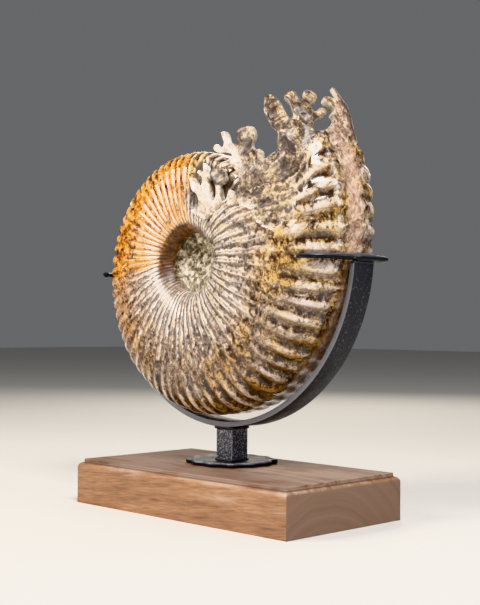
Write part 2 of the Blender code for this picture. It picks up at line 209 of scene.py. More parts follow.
# Each lamp: name, place in metres, size in metres, watts and colour
LAMPS = (
    ("key_softbox_left", (-0.70, -1.25, 0.95), (0.7, 0.6), 27.0, "FFF8F0"),
    ("high_softbox_right", (0.80, -0.50, 1.25), (0.7, 0.4), 24.0, "FFFFFF"),
    ("strip_light_right", (1.35, 0.55, 0.80), (0.2, 1.0), 6.0, "FFFFFF"),
    ("back_rim", (-0.9, 1.2, 0.9), (0.8, 0.8), 8.0, "FFF4E6"),
)
LAMP_AIM = Vector((-0.01, 0.0, 0.21))
for name, place, (width, height), watts, code in LAMPS:
    light = bpy.data.lights.new(name, "AREA")
    light.shape = "RECTANGLE"
    light.size = width
    light.size_y = height
    light.energy = watts
    light.color = colour(code)[:3]
    lamp = bpy.data.objects.new(name, light)
    turn = (LAMP_AIM - Vector(place)).to_track_quat("-Z", "Y")
    lamp.matrix_world = Matrix.Translation(place) @ turn.to_matrix().to_4x4()
    bpy.context.scene.collection.objects.link(lamp)
print("lamps:", [row[0] for row in LAMPS])

# %% [markdown]
# ## The coil
#
# An ammonite grows as a tube wound in a flat spiral. Each turn is larger than the last by the
# same factor, so one formula gives the radius at any angle. The cross-section keeps its shape
# and only grows with the radius, and the next turn wraps over the one before, which leaves a
# stepped hollow, the umbilicus, in the middle of each side. These values are the ones that the
# solid was made with.

# %% The coil's formulas, for whole arrays of points at once
COIL_CENTRE = np.array((-38.0, 5.5, 225.7)) * MM
RADIUS_AT_FULL_TURN = 172 * MM
EXPANSION = 2.15
END_ANGLE = math.radians(391)
# Millimetres along the shell are measured at this share of its radius
MID_FLANK = 0.85
RIBS_PER_TURN = 64
SECTION_MIDDLE, SECTION_REACH, SECTION_HALF_WIDTH = 0.6, 0.4, 0.287
OUTER_POWER, INNER_POWER = 2.9, 3.3


def coil_radius(angle):
    return RADIUS_AT_FULL_TURN * EXPANSION ** (angle / (2 * math.pi) - 1)


def section(turn):
    """The section's outline in radii, outwards and to the front. turn is 0 on the venter."""
    across, side = np.cos(turn), np.sin(turn)
    power = np.where(across > 0, OUTER_POWER, INNER_POWER)
    swell = (np.abs(across) ** power + np.abs(side) ** power) ** (-1 / power)
    return SECTION_MIDDLE + SECTION_REACH * swell * across, SECTION_HALF_WIDTH * swell * side


END_RADIUS = coil_radius(END_ANGLE)


def in_space(angle, out, side):
    """Points from their angle round the coil, and their distances from its axis and to the front."""
    return np.stack([
        COIL_CENTRE[0] + out * np.cos(angle),
        COIL_CENTRE[1] - side + 0 * angle,
        COIL_CENTRE[2] + out * np.sin(angle),
    ], axis=-1)


def seam_turns():
    """Where the next turn covers a whorl, and the same place seen as that next turn's own edge."""
    low, high = math.radians(91), math.radians(135)
    for _ in range(40):
        covered = (low + high) / 2
        out, side = (float(value) / EXPANSION for value in section(np.array(covered)))
        inward = (SECTION_MIDDLE - out) / SECTION_REACH
        sideways = side / SECTION_HALF_WIDTH
        inside = inward**INNER_POWER + sideways**INNER_POWER <= 1
        low, high = (low, covered) if inside else (covered, high)
    return covered, math.atan2(sideways, -inward)


COVERED_TURN, SEAM_TURN = seam_turns()
# Distance round the section from the middle of the venter, in radii, for walking along the surface
TURN_TABLE = np.linspace(-SEAM_TURN, SEAM_TURN, 1201)
OUTLINE = np.stack(section(TURN_TABLE), axis=-1)
ROUND_TABLE = np.concatenate([[0.0], np.cumsum(np.linalg.norm(np.diff(OUTLINE, axis=0), axis=1))])
ROUND_TABLE -= np.interp(0.0, TURN_TABLE, ROUND_TABLE)
print("from venter to seam: %.2f radii" % ROUND_TABLE[-1])

# %% [markdown]
# ## Ribs and tubercles
#
# Sixty-four ribs run across each turn. Near the umbilicus they are thin and sharp, on the
# flank they swell and flatten, and on the shoulder they stand up as strong bars that carry
# rows of round tubercles. The middle of the venter is a smooth shallow band. The crests keep
# the height of the solid and the grooves are cut into it, so the shell never grows past its box.

# %% How deep the surface lies under the crests
RIB_STEP = 2 * math.pi / RIBS_PER_TURN
RIB_DEPTH = 0.019
VENTER_GROOVE_DEPTH = 0.010
# Along the section, in radii from the middle of the venter: rib strength and crest sharpness
RIB_PLACES = (0.0, 0.04, 0.10, 0.22, 0.33, 0.45, 0.58, 0.70, 0.82, 0.93)
RIB_STRENGTHS = (0.20, 0.35, 1.0, 1.0, 0.80, 0.52, 0.34, 0.30, 0.26, 0.06)
RIB_SHARPNESSES = (0.9, 0.8, 0.5, 0.5, 0.7, 1.2, 1.9, 2.6, 2.0, 1.4)
# Behind the broken edge the outer shell has flaked off. How wide that zone is, round from the venter, in mm
FLAKED_AROUND = (-150, -120, -95, -70, -45, -25, -10, 0, 10, 22, 30, 42, 55, 66, 80, 95, 110, 125, 150)
FLAKED_WIDTH = (0, 8, 20, 26, 22, 12, 4, 2, 3, 3, 4, 10, 28, 36, 40, 34, 16, 8, 0)
# The ragged edge: how far round from the venter in mm, and how far past the solid's edge in mm
RAGGED_AROUND = (-170, -150, -128, -112, -95, -78, -60, -45, -30, -17, -8, 0, 8, 14, 19, 26, 35, 42, 49,
                 57, 66, 75, 87, 100, 115, 131, 150, 170)
RAGGED_ALONG = (0, 0, -5, -12, -9, -18, -22, -12, -3, 4, 3, 0, -7, 1, 5, 3, -1, -8, -15,
                -20, -25, -22, -17, -13, -7, -3, 0, 0)
# Round pits where a chamber's wall broke out: mm past the solid's edge, mm round, radius and depth in mm
PITS = (
    (-14, 57, 9.5, 4.5), (-7, 12, 7.0, 7.0), (-2, 86, 5.5, 4.5), (-11, 84, 4.5, 4.0), (-20, 67, 4.5, 3.5),
    (-14, -17, 3.4, 4.5), (-30, 74, 3.6, 2.0), (-9, 33, 4.0, 2.0), (-22, 96, 5.0, 2.5), (-14, -57, 9.5, 4.5),
    (-12, -84, 5.0, 4.0),
)
BRANCH_HOLLOW_DEPTH = 3.4 * MM
TUBERCLE_ROWS = (0.115, 0.185, 0.258, 0.333, 0.41)
TUBERCLE_SPREAD = 0.021
COVERED_REACH, SEAM_REACH = (
    float(np.interp(turn, TURN_TABLE, ROUND_TABLE)) for turn in (COVERED_TURN, SEAM_TURN))
AMBER_FROM, AMBER_TO = math.radians(92), math.radians(188)
SEED = 7
random_numbers = np.random.default_rng(SEED)
RIB_VARIATION = 1 + 0.14 * random_numbers.standard_normal(4 * RIBS_PER_TURN).clip(-1.6, 1.6)


def smooth_step(value, low, high):
    share = np.clip((value - low) / (high - low), 0.0, 1.0)
    return share * share * (3 - 2 * share)


def noise_at(points, size, seed=0.0):
    """Smooth noise of about -1 to 1 at each point, with lumps of this size in metres."""
    shift = Vector((seed, 2.3 * seed, -1.7 * seed))
    flat = points.reshape(-1, 3) / size
    values = [noise.noise(Vector(point) + shift) for point in flat]
    return np.array(values).reshape(points.shape[:-1])


def lumps_at(points, size, seed):
    """The same noise from about 0 to 1."""
    return 0.5 + 0.5 * noise_at(points, size, seed)


def edge_shift(reach):
    """How far the ragged edge lies past the solid's edge, as an angle round the coil."""
    around = reach * END_RADIUS / MM
    along = np.interp(around, RAGGED_AROUND, RAGGED_ALONG)
    tooth = 1.6 * np.sin(around * 0.9) * np.sin(around * 0.37 + 1.0)
    fade = 1 - smooth_step(np.abs(around), 118, 148)
    return (along + tooth) * fade * MM / (MID_FLANK * END_RADIUS)


def rib_phase(angle, reach):
    """Ribs counted back from the broken end, wandering a little. Whole numbers are grooves, halves crests."""
    on_sheet = np.stack(np.broadcast_arrays(angle, 0.4 * reach, 0.0), axis=-1)
    wander = 0.22 * noise_at(on_sheet, 0.16, 21.0) + 0.07 * noise_at(on_sheet, 0.05, 23.0)
    return (END_ANGLE - angle) / RIB_STEP + wander


def flaked_share(angle, reach, points):
    """1 where the outer shell has flaked off behind the broken edge, with a ragged border."""
    behind = (END_ANGLE + edge_shift(reach) - angle) * MID_FLANK * END_RADIUS / MM
    width = np.interp(reach * END_RADIUS / MM, FLAKED_AROUND, FLAKED_WIDTH)
    width = width * (1 + 0.5 * noise_at(points, 13 * MM, 31.0)) + 3 * noise_at(points, 4 * MM, 33.0)
    return smooth_step(width - behind, -0.7, 0.7)


def amber_share(angle):
    """1 in the amber part of the shell, which is at the far upper side, and 0 elsewhere."""
    turned = np.mod(angle, 2 * math.pi)
    return smooth_step(turned, AMBER_FROM - 0.2, AMBER_FROM + 0.25) * (
        1 - smooth_step(turned, AMBER_TO - 0.12, AMBER_TO + 0.22))


def pit_depth(angle, reach):
    """How deep the pits are at these places, in metres."""
    past_edge = (angle - END_ANGLE) * MID_FLANK * END_RADIUS / MM
    deepest = np.zeros(np.shape(angle))
    for along, around, size, depth in PITS:
        away = np.hypot(past_edge - along, reach * END_RADIUS / MM - around) / size
        deepest = np.maximum(deepest, depth * MM * np.sqrt(np.clip(1 - away**2, 0, 1)))
    return deepest


def branch_hollow(angle, reach):
    """1 in the hollow on the turn before, where the small branch lies."""
    start = END_ANGLE - 2 * math.pi
    along = (angle - start) * MID_FLANK * coil_radius(start) / MM
    around = reach * coil_radius(angle) / MM
    return (smooth_step(along, 4, 11) - smooth_step(along, 66, 74)).clip(0, 1) * (
        smooth_step(around, 19, 25) - smooth_step(around, 66, 76)).clip(0, 1)


def relief(angle, reach, points):
    """How far the surface lies under the solid's crests, as a share of the coil's radius."""
    away = np.abs(reach)
    phase = rib_phase(angle, reach)
    flaked = flaked_share(angle, reach, points)
    strength = np.interp(away, RIB_PLACES, RIB_STRENGTHS)
    # The flank on the side of the broken end is ground almost flat
    ground_flat = (0.5 + 0.5 * np.cos(angle - math.radians(5))) ** 2 * smooth_step(away, 0.25, 0.42)
    near_end = smooth_step(angle, END_ANGLE - 1.5, END_ANGLE - 0.4) * smooth_step(reach, -0.05, 0.08)
    strength = strength * (1 - 0.8 * ground_flat) * (1 - 0.5 * near_end)
    sharpness = np.interp(away, RIB_PLACES, RIB_SHARPNESSES)
    crest = (0.5 - 0.5 * np.cos(2 * math.pi * phase)) ** sharpness
    number = np.clip(np.floor(phase).astype(int), 0, len(RIB_VARIATION) - 1)
    crest = crest * np.minimum(RIB_VARIATION[number], 1.0)
    row = sum(np.exp(-(((away - place) / TUBERCLE_SPREAD) ** 2)) for place in TUBERCLE_ROWS)
    on_rows = smooth_step(away, 0.06, 0.10) * (1 - smooth_step(away, 0.42, 0.48))
    knobbly = on_rows * (0.10 - 0.08 * near_end + 0.50 * amber_share(angle))
    height = crest * (1 - knobbly * (1 - np.minimum(row, 1.0)))
    wear = lumps_at(points, 14 * MM, 3.1)
    drop = RIB_DEPTH * strength * (1 - height) * (1 - 0.8 * flaked)
    drop += VENTER_GROOVE_DEPTH * np.exp(-((away / 0.055) ** 2))
    chips = 0.008 + 0.012 * np.abs(noise_at(points, 7 * MM, 41.0))
    chips += 0.006 * np.abs(noise_at(points, 3 * MM, 43.0))
    broken = pit_depth(angle, reach) + BRANCH_HOLLOW_DEPTH * branch_hollow(angle, reach)
    drop += flaked * chips + broken / coil_radius(angle)
    drop += 0.0035 * wear * smooth_step(away, 0.2, 0.5) + 0.0006 * lumps_at(points, 4 * MM, 5.0)
    # The inner turns are filled with rough stone: their ribs are lost under lumps
    filled = smooth_step(phase, 0.96 * RIBS_PER_TURN, 1.10 * RIBS_PER_TURN)
    lumps = 0.055 * lumps_at(points, 8 * MM, 9.0) + 0.026 * lumps_at(points, 3 * MM, 12.0)
    filled = np.maximum(filled, smooth_step(away, 0.5 * (COVERED_REACH + SEAM_REACH), SEAM_REACH) * 0.5)
    return drop * (1 - 0.8 * filled) + lumps * filled


print("rib spacing on the venter: %.1f mm" % (RIB_STEP * END_RADIUS / MM))

# %% [markdown]
# ## The shell's mesh
#
# One flat grid is laid round the last turn: its rows are steps round the coil, eight to a rib,
# and its columns run round the section from seam to seam. The inner turns show only a strip on
# each side, inside the umbilicus, so they take two narrow grids. The edge columns of each turn
# land exactly on the turn before, so that merging doubles closes the seams.
# At the broken end the shell's edge is ragged. It turns in, runs back as a thin wall and ends
# in a septum, the fluted partition that closed the last chamber.

# %% The grids
ROWS_PER_RIB = 8
ROWS_PER_TURN = ROWS_PER_RIB * RIBS_PER_TURN
INNER_TURNS = 2
COLUMNS_TO_COVER = 58
COLUMNS_IN_SEAM = 9
half = np.concatenate([
    np.linspace(SEAM_REACH, COVERED_REACH, COLUMNS_IN_SEAM + 1),
    np.linspace(COVERED_REACH, 0.0, COLUMNS_TO_COVER + 1)[1:],
])
COLUMN_REACHES = np.concatenate([half, -half[-2::-1]])
LAST_COLUMN = len(COLUMN_REACHES) - 1
BLEND_ROWS = 44


def shell_surface(angle, reach, depth=0.0):
    """Points of the shell's surface, sunk by depth under it."""
    radius = coil_radius(angle)
    turn = np.interp(reach, ROUND_TABLE, TURN_TABLE)
    out, side = section(turn)
    points = in_space(angle, radius * out, radius * side)
    drop = relief(angle, reach, points) + depth / radius
    share = 1 - drop / np.hypot(out - SECTION_MIDDLE, side)
    return in_space(angle, radius * (SECTION_MIDDLE + (out - SECTION_MIDDLE) * share), radius * side * share)


def grid_points(rows, columns):
    """Where the grid's points lie in space. Row 0 is the broken edge, and the rows before it are negative."""
    at_seam = (columns == 0) | (columns == LAST_COLUMN)
    reach = np.where(at_seam, np.sign(COLUMN_REACHES[columns]) * COVERED_REACH, COLUMN_REACHES[columns])
    share = np.clip(1 + rows / BLEND_ROWS, 0, 1) ** 2
    angle = END_ANGLE + 2 * math.pi * rows / ROWS_PER_TURN + np.where(at_seam, 0.0, edge_shift(reach) * share)
    return shell_surface(angle - np.where(at_seam, 2 * math.pi, 0.0), reach)


def places_of(points):
    return np.array([point.co for point in points])


def lay_grid(bm, first_row, rows, first_column, columns):
    """A flat grid whose points are moved onto the shell, and which remembers its rows and columns."""
    grid = bmesh.ops.create_grid(bm, x_segments=rows, y_segments=columns, size=1)["verts"]
    share = (places_of(grid) + 1) / 2
    row = first_row + np.rint(share[:, 0] * rows).astype(int)
    column = first_column + np.rint(share[:, 1] * columns).astype(int)
    for point, place, r, c in zip(grid, grid_points(row, column), row.tolist(), column.tolist()):
        point.co = place
        point[row_of] = r
        point[column_of] = c


shell_bm = bmesh.new()
row_of, column_of, ring_of = (shell_bm.verts.layers.int.new(name) for name in ("row", "column", "ring"))
lay_grid(shell_bm, -ROWS_PER_TURN, ROWS_PER_TURN, 0, LAST_COLUMN)
inner_rows = INNER_TURNS * ROWS_PER_TURN
for first_column in (0, LAST_COLUMN - COLUMNS_IN_SEAM):
    lay_grid(shell_bm, -ROWS_PER_TURN - inner_rows, inner_rows, first_column, COLUMNS_IN_SEAM)
bmesh.ops.remove_doubles(shell_bm, verts=shell_bm.verts, dist=0.02 * MM)
print("grid points:", len(shell_bm.verts))

# %% Close the two hubs and the broken end
HUB_REACH = 0.55
hub_radius = END_RADIUS / EXPANSION**INNER_TURNS
centre = Vector(COIL_CENTRE)


def extruded(bm, edges):
    """Extrudes a row of open edges. Returns its new points, and its new edges that are open."""
    made = bmesh.ops.extrude_edge_only(bm, edges=edges)["geom"]
    points = [item for item in made if isinstance(item, bmesh.types.BMVert)]
    return points, [item for item in made if isinstance(item, bmesh.types.BMEdge) and item.is_boundary]


def face_outwards(bm):
    bmesh.ops.recalc_face_normals(bm, faces=bm.faces)
    if bm.calc_volume(signed=True) < 0:
        bmesh.ops.reverse_faces(bm, faces=bm.faces)


def is_hub(edge):
    return all(math.hypot(p.co.x - centre.x, p.co.z - centre.z) < hub_radius * HUB_REACH for p in edge.verts)


for front in (True, False):
    rim = [e for e in shell_bm.edges if e.is_boundary and is_hub(e) and (e.verts[0].co.y < centre.y) == front]
    tips, _ = extruded(shell_bm, rim)
    tip = Vector((centre.x, centre.y + 0.5 * (tips[0].co.y - centre.y), centre.z))
    bmesh.ops.pointmerge(shell_bm, verts=tips, merge_co=tip)

# Each ring behind the edge: how far back in mm, how deep under the skin in mm, and how far in to the middle
END_RINGS = [(0.3, 0.7, 0.0), (0.2, 1.6, 0.0), (1.2, 2.2, 0.0), (5, 2.3, 0.0), (12, 2.3, 0.0), (20, 2.3, 0.0)]
END_RINGS += [
    (24 - 10 * share**2, 2.3, share) for share in (0.04, 0.1, 0.18, 0.27, 0.36, 0.45, 0.55, 0.65, 0.76, 0.88)]
FLUTES = 9
SEPTUM_MIDDLE = 0.62


def end_point(ring, row, column):
    """A point of the wall behind the ragged edge, or of the septum that closes it."""
    back, depth, inward = END_RINGS[ring - 1]
    reach = COLUMN_REACHES[column]
    on_floor = row < 0
    angle = END_ANGLE - (2 * math.pi if on_floor else 0.0)
    shift = float(edge_shift(reach)) * max(0.0, 1 - back / 24) * (not on_floor)
    flute = 5.0 * math.sin(math.pi * inward) * math.sin(FLUTES * reach * 3.2) * inward * (1 - inward)
    angle += shift - (back + flute * 4) * MM / (MID_FLANK * END_RADIUS)
    sink = -0.4 * MM if on_floor else depth * MM
    place = Vector(shell_surface(np.array(angle), np.array(reach), sink))
    about = angle + (2 * math.pi if on_floor else 0.0)
    middle = Vector(in_space(about, END_RADIUS * SEPTUM_MIDDLE, 0.0))
    return place.lerp(middle, inward)


edge = [e for e in shell_bm.edges if e.is_boundary]
for ring in range(1, len(END_RINGS) + 1):
    points, edge = extruded(shell_bm, edge)
    for point in points:
        point[ring_of] = ring
        point.co = end_point(ring, point[row_of], point[column_of])
bmesh.ops.holes_fill(shell_bm, edges=edge)
bmesh.ops.triangulate(shell_bm, faces=[face for face in shell_bm.faces if len(face.verts) > 4])
face_outwards(shell_bm)
print("open edges:", sum(e.is_boundary for e in shell_bm.edges), "faces:", len(shell_bm.faces))

# %% [markdown]
# The finish of the shell depends on the ribs: crests are worn to other layers than grooves. Each
# point stores its place in the pattern of ribs, which changes evenly from point to point, so a
# material can draw lines along the ribs that are finer than the mesh.

# %% Store the pattern's coordinates on the shell
row, column, ring = (
    np.array([point[layer] for point in shell_bm.verts]) for layer in (row_of, column_of, ring_of))
shell = object_of("ammonite_shell", shell_bm)


def store(piece, **kept):
    """Keeps numbers for each point of a piece, for its material, which reads 0 where none is kept."""
    for name, values in kept.items():
        layer = piece.data.attributes.new(name, "FLOAT", "POINT")
        layer.data.foreach_set("value", np.asarray(values, np.float32))


reach = COLUMN_REACHES[column]
angle = END_ANGLE + 2 * math.pi * row / ROWS_PER_TURN
places = places_of(shell.data.vertices)
shifted = angle + edge_shift(reach) * np.clip(1 + row / BLEND_ROWS, 0, 1) ** 2
store(
    shell, rib=rib_phase(angle, reach), reach=reach, amber=amber_share(angle),
    flaked=flaked_share(shifted, reach, places),
    # Kept for the material, which paints the pits and the branch's hollow dark as painted shade
    pit=np.maximum(pit_depth(shifted, reach) / (4 * MM), branch_hollow(angle, reach)),
    inside=np.clip((ring - 2) / 3, 0, 1), turns_in=np.clip(-row / ROWS_PER_TURN - 0.98, 0, 3))
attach(shell, "root")
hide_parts("ammonite")
print("shell, mm:", (places.min(0) / MM).round(1), (places.max(0) / MM).round(1))

# %% [markdown]
# ## The free-standing lobes
#
# Where the last turn is broken off, the wall between two chambers was frilled like a leaf, and
# its folds now stand free as branching lobes with a horn in the middle. They are thick stone
# with rounded rims. Each lobe starts as a flat outline, drawn as a smooth closed curve and
# given its thickness. All the outlines lie in one flat sheet, measured in millimetres past the
# broken edge and round from the venter, so they can be melted together there, worn round, and
# only then bent on to the whorl.

# %% Outlines of the lobes: mm past the broken edge, mm round from the venter
LOBE_NEAR_HUB = (
    (-8, 113), (19, 114), (32, 118), (43, 127), (45, 123), (37, 113), (46, 115), (58, 123), (71, 123),
    (68, 116), (58, 113), (64, 111), (70, 108), (65, 102), (57, 101), (49, 103), (40, 99), (20, 98),
    (-8, 96),
)
LOBE_MIDDLE = (
    (-8, 78), (8, 81), (12, 80), (18, 82), (25, 87), (28, 82), (36, 78), (42, 80), (48, 87), (52, 95),
    (46, 99), (40, 103), (20, 108), (-8, 106),
)
LOBE_OUTER = (
    (-8, 67), (11, 64), (17, 61), (25, 64), (35, 64), (42, 63), (46, 59), (50, 55), (48, 49), (42, 46),
    (35, 45), (27, 45), (22, 44), (22, 42), (28, 40), (34, 39), (41, 40), (42, 33), (41, 27), (37, 26),
    (33, 24), (35, 21), (41, 17), (42, 7), (38, 3), (31, 9), (24, 20), (22, 18), (26, 8), (23, 2),
    (17, 9), (13, 21), (9, 26), (3, 26), (-8, 23),
)
HORN = (
    (-8, 30), (3, 24), (6, 15), (11, 5), (18, -4), (27, -13), (41, -24), (53, -31), (45, -34), (31, -37),
    (15, -38), (-8, -40),
)
# The same on the turn before, for the small branch and the round pad that lie on its flank
BRANCH_ON_FLANK = (
    (60, 28), (57, 26), (53, 30), (53, 33), (49, 34), (47, 39), (43, 41), (37, 48), (33, 49), (30, 46),
    (34, 40), (37, 36), (34, 33), (30, 35), (25, 38), (21, 39), (18, 37), (21, 32), (22, 29), (18, 26),
    (12, 26), (12, 34), (16, 45), (19, 54), (25, 64), (41, 70), (51, 67), (52, 61), (57, 56), (65, 54),
    (69, 49), (71, 43), (65, 43), (59, 46), (54, 45), (55, 40), (62, 38), (62, 34), (57, 35), (58, 32),
)
ROUND_PAD = ((32, 24), (37, 22), (43, 24), (47, 29), (46, 34), (40, 36), (33, 34), (30, 29))
COLLAR = (
    (-30, -128), (-30, 128), (-6, 126), (3, 112), (5, 95), (5, 74), (4, 60), (4, 26), (2, 10),
    (2, -40), (4, -60), (5, -74), (5, -95), (3, -112), (-6, -126),
)
REAR_STRETCH = 0.92
# Outline, mirrored to the rear or not, outer and inner face in mm under the shell's crests, and how
# much the outline is drawn in, in mm
END_PLATES = [
    (outline, mirrored, *faces) for mirrored in (False, True) for outline, *faces in (
        (LOBE_NEAR_HUB, 2.4, 6.6, 1.5), (LOBE_MIDDLE, 3.4, 8.6, 0.7), (LOBE_OUTER, 2.8, 9.0, 0.4))]
END_PLATES += [(HORN, False, 3.0, 8.8, 0.3), (COLLAR, False, 2.9, 9.6, 0.1)]
BRANCH_PLATES = [(BRANCH_ON_FLANK, False, -3.2, 5, 0.3), (ROUND_PAD, False, -4.4, 3, 0.1)]
VOXEL = 0.9 * MM


def add_outcome(bm, holder, move=(0, 0, 0)):
    """Adds the mesh that a curve, or an object with a modifier, comes out as, and removes the object."""
    mesh = bpy.data.meshes.new_from_object(holder.evaluated_get(bpy.context.evaluated_depsgraph_get()))
    mesh.transform(Matrix.Translation(move))
    bm.from_mesh(mesh)
    bpy.data.batch_remove([holder, holder.data, mesh])


def smooth_curve(points, cyclic, **settings):
    """An object with a smooth curve through these points, each a place and a share of its thickness."""
    curve = bpy.data.curves.new("smooth_curve", "CURVE")
    for name, value in settings.items():
        setattr(curve, name, value)
    spline = curve.splines.new("BEZIER")
    spline.bezier_points.add(len(points) - 1)
    spline.use_cyclic_u = cyclic
    for point, (place, share) in zip(spline.bezier_points, points):
        point.co, point.radius = place, share
        point.handle_left_type = point.handle_right_type = "AUTO"
    holder = bpy.data.objects.new("smooth_curve", curve)
    bpy.context.scene.collection.objects.link(holder)
    return holder


def add_plate(bm, outline, mirrored, outer, inner, drawn_in):
    """Adds one flat plate with a smooth outline. Its thickness runs down from the sheet's level."""
    side, stretch = (-1, REAR_STRETCH) if mirrored else (1, 1.0)
    points = [
        ((along * (stretch if along > 0 else 1.0) * MM, around * side * MM, 0), 1.0)
        for along, around in outline]
    holder = smooth_curve(
        points, True, dimensions="2D", fill_mode="BOTH", extrude=(inner - outer) / 2 * MM,
        offset=-drawn_in * MM, resolution_u=6)
    add_outcome(bm, holder, (0, 0, -(outer + inner) / 2 * MM))


def melted(bm, voxel):
    """Melts overlapping closed pieces into one skin of small even faces."""
    bmesh.ops.remove_doubles(bm, verts=bm.verts, dist=0.01 * MM)
    holder = object_of("melting", bm)
    remesh = holder.modifiers.new("melt", "REMESH")
    remesh.mode = "VOXEL"
    remesh.voxel_size = voxel
    skin = bmesh.new()
    add_outcome(skin, holder)
    return skin


def worn_plates(plates, rounds):
    """Plates melted together, with their rims worn round."""
    bm = bmesh.new()
    for plate in plates:
        add_plate(bm, *plate)
    skin = melted(bm, VOXEL)
    for _ in range(rounds):
        bmesh.ops.smooth_vert(
            skin, verts=skin.verts, factor=0.5, use_axis_x=True, use_axis_y=True, use_axis_z=True)
    return skin


end_sheet, branch_sheet = worn_plates(END_PLATES, 5), worn_plates(BRANCH_PLATES, 5)
print("end sheet points:", len(end_sheet.verts), "branch points:", len(branch_sheet.verts))

# %% Wear, and the bend on to the whorl
# Round hollows in the sheet: along, around, radius and depth in mm
HOLLOWS = (
    (38, 100, 5, 1.8), (12, 104, 6, 2.2), (31, 55, 6, 1.6), (33, 31, 6, 1.8), (2, 70, 6, 2.6),
    (17, 92, 6, 1.8), (10, 45, 9, 2.2), (-3, 9, 7, 5.0), (16, 32, 5, 1.6), (22, -14, 7, 1.8),
    (-6, -61, 10, 3.6), (10, -45, 9, 2.0),
)
# The horn leans outwards, away from the coil
HORN_LIFT = 5.5


def beside_shell(along, around, depth, turns_back):
    """Points this far past the broken edge, round from the venter and under the shell's crests."""
    start = END_ANGLE - 2 * math.pi * turns_back
    angle = start + along / (MID_FLANK * coil_radius(start))
    radius = coil_radius(angle)
    reach = around / radius
    turn = np.interp(reach, ROUND_TABLE, TURN_TABLE)
    step = math.radians(0.5)
    before, after = np.stack(section(turn - step), -1), np.stack(section(turn + step), -1)
    tangent = after - before
    tangent /= np.linalg.norm(tangent, axis=-1, keepdims=True)
    out, side = section(turn)
    return in_space(angle, radius * out - tangent[..., 1] * depth, radius * side + tangent[..., 0] * depth)


def bend_on(skin, turns_back, seed):
    """Gives the sheet its worn relief, and lays it on the whorl. Returns its old flat places."""
    skin.normal_update()
    flat = places_of(skin.verts)
    facing = np.array([point.normal for point in skin.verts])
    lumps = 0.45 * noise_at(flat, 9 * MM, seed) + 0.22 * noise_at(flat, 4 * MM, seed + 1) - 0.25
    worn = flat + facing * (lumps * MM)[:, None]
    if turns_back == 0:
        for along, around, radius, depth in HOLLOWS:
            away = np.hypot(flat[:, 0] / MM - along, flat[:, 1] / MM - around) / radius
            worn[:, 2] -= depth * MM * np.clip(1 - away**2, 0, 1) * (facing[:, 2] > 0.3)
        on_horn = smooth_step(-flat[:, 1] / MM, 4, 34) * smooth_step(flat[:, 0] / MM, 2, 40)
        worn[:, 2] += HORN_LIFT * MM * on_horn * (flat[:, 1] > -46 * MM)
    placed = beside_shell(worn[:, 0], worn[:, 1], -worn[:, 2], turns_back)
    for point, place in zip(skin.verts, placed):
        point.co = place
    face_outwards(skin)
    return flat, 1 - np.abs(facing[:, 2])


flat_end, end_rim = bend_on(end_sheet, 0, 11.0)
flat_branch, branch_rim = bend_on(branch_sheet, 1, 17.0)
fronds = object_of("ammonite_lobes", end_sheet)
branch = object_of("ammonite_branch", branch_sheet)
for piece, flat, rim, base in ((fronds, flat_end, end_rim, 0.0), (branch, flat_branch, branch_rim, 1.0)):
    along, around = flat[:, 0] / MM, flat[:, 1] / MM
    pad = base * (np.hypot(along - 39, around - 29) < 8.5)
    horn_edge = np.interp(along, (0, 11, 27, 54), (24, 9, -9, -26))
    near_tips = smooth_step(np.abs(around), 101, 106) * smooth_step(along, 8, 24)
    store(
        piece, rib=np.full(len(flat), 1000.0), reach=around * MM / END_RADIUS,
        chalk=np.maximum(base - pad, near_tips),
        pink=smooth_step(horn_edge - around, 0, 4) * (1 - base) * smooth_step(around, -60, -36),
        inside=smooth_step(-along, 6, 14) * 0.5, flaked=np.full(len(flat), 0.9), rim=rim)
    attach(piece, "root")
    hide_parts("ammonite")
    highest = places_of(piece.data.vertices)[:, 2].max()
    print(piece.name, "highest point: %.2f mm" % (highest / MM), "points:", len(flat))

# %% [markdown]
# ## The cradle
#
# The cradle is made of four kinds of mild steel: flat bar bent into a half ring, a short square
# post, a cut plate under it, and two round rods forged into claws that hold the shell from both
# sides. The ring's section is drawn once with rounded corners and spun round its centre. Each
# piece stores how bright its surface is painted. Edges and rims lose their black skin first and
# are rubbed bright; the band's cut faces and the plate's rim also carry a painted highlight, and
# the claws' tops are bright only as a painted highlight.

# %% The half ring of flat bar
STAND_X, STAND_Y = -12 * MM, 11 * MM
RING_CENTRE = Vector((-13.9, 11, 225.6)) * MM
RING_INNER_RADIUS = 147.4 * MM
BAND_THICKNESS, BAND_WIDTH = 5 * MM, 25 * MM
RIGHT_CLAW_Z, LEFT_CLAW_Z = 219.5 * MM, 212 * MM
CLAW_ROD = 2.45 * MM
UNDER_CLAW = 4.2 * MM
RING_MIDDLE_RADIUS = RING_INNER_RADIUS + BAND_THICKNESS / 2
# Edges sharper than this many degrees stay sharp
SHARP_FROM = 40


def box_mesh(size, bottom):
    """A box of this size that stands at this place."""
    bm = bmesh.new()
    bmesh.ops.create_cube(bm, size=1)
    bmesh.ops.scale(bm, verts=bm.verts, vec=size)
    bmesh.ops.translate(bm, verts=bm.verts, vec=(bottom[0], bottom[1], bottom[2] + size[2] / 2))
    return bm


def rounded(bm, edges, width, segments):
    bmesh.ops.bevel(
        bm, geom=edges, offset=width, offset_type="OFFSET", segments=segments, profile=0.5,
        affect="EDGES", material=-1, clamp_overlap=True)


def steel_piece(name, bm, node, bright):
    """Makes the object, stores where it is painted bright as rubbed wear and painted highlight, and puts it
    in place of its solid node.
    """
    bmesh.ops.recalc_face_normals(bm, faces=bm.faces)
    made = object_of(name, bm, SHARP_FROM)
    store(made, bright=bright(places_of(made.data.vertices)))
    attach(made, "root")
    if node:
        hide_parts(node)
    print(name, "triangles:", sum(len(face.vertices) - 2 for face in made.data.polygons))
    return made


def ring_angle(height):
    return math.asin((height - RING_CENTRE.z) / RING_MIDDLE_RADIUS)


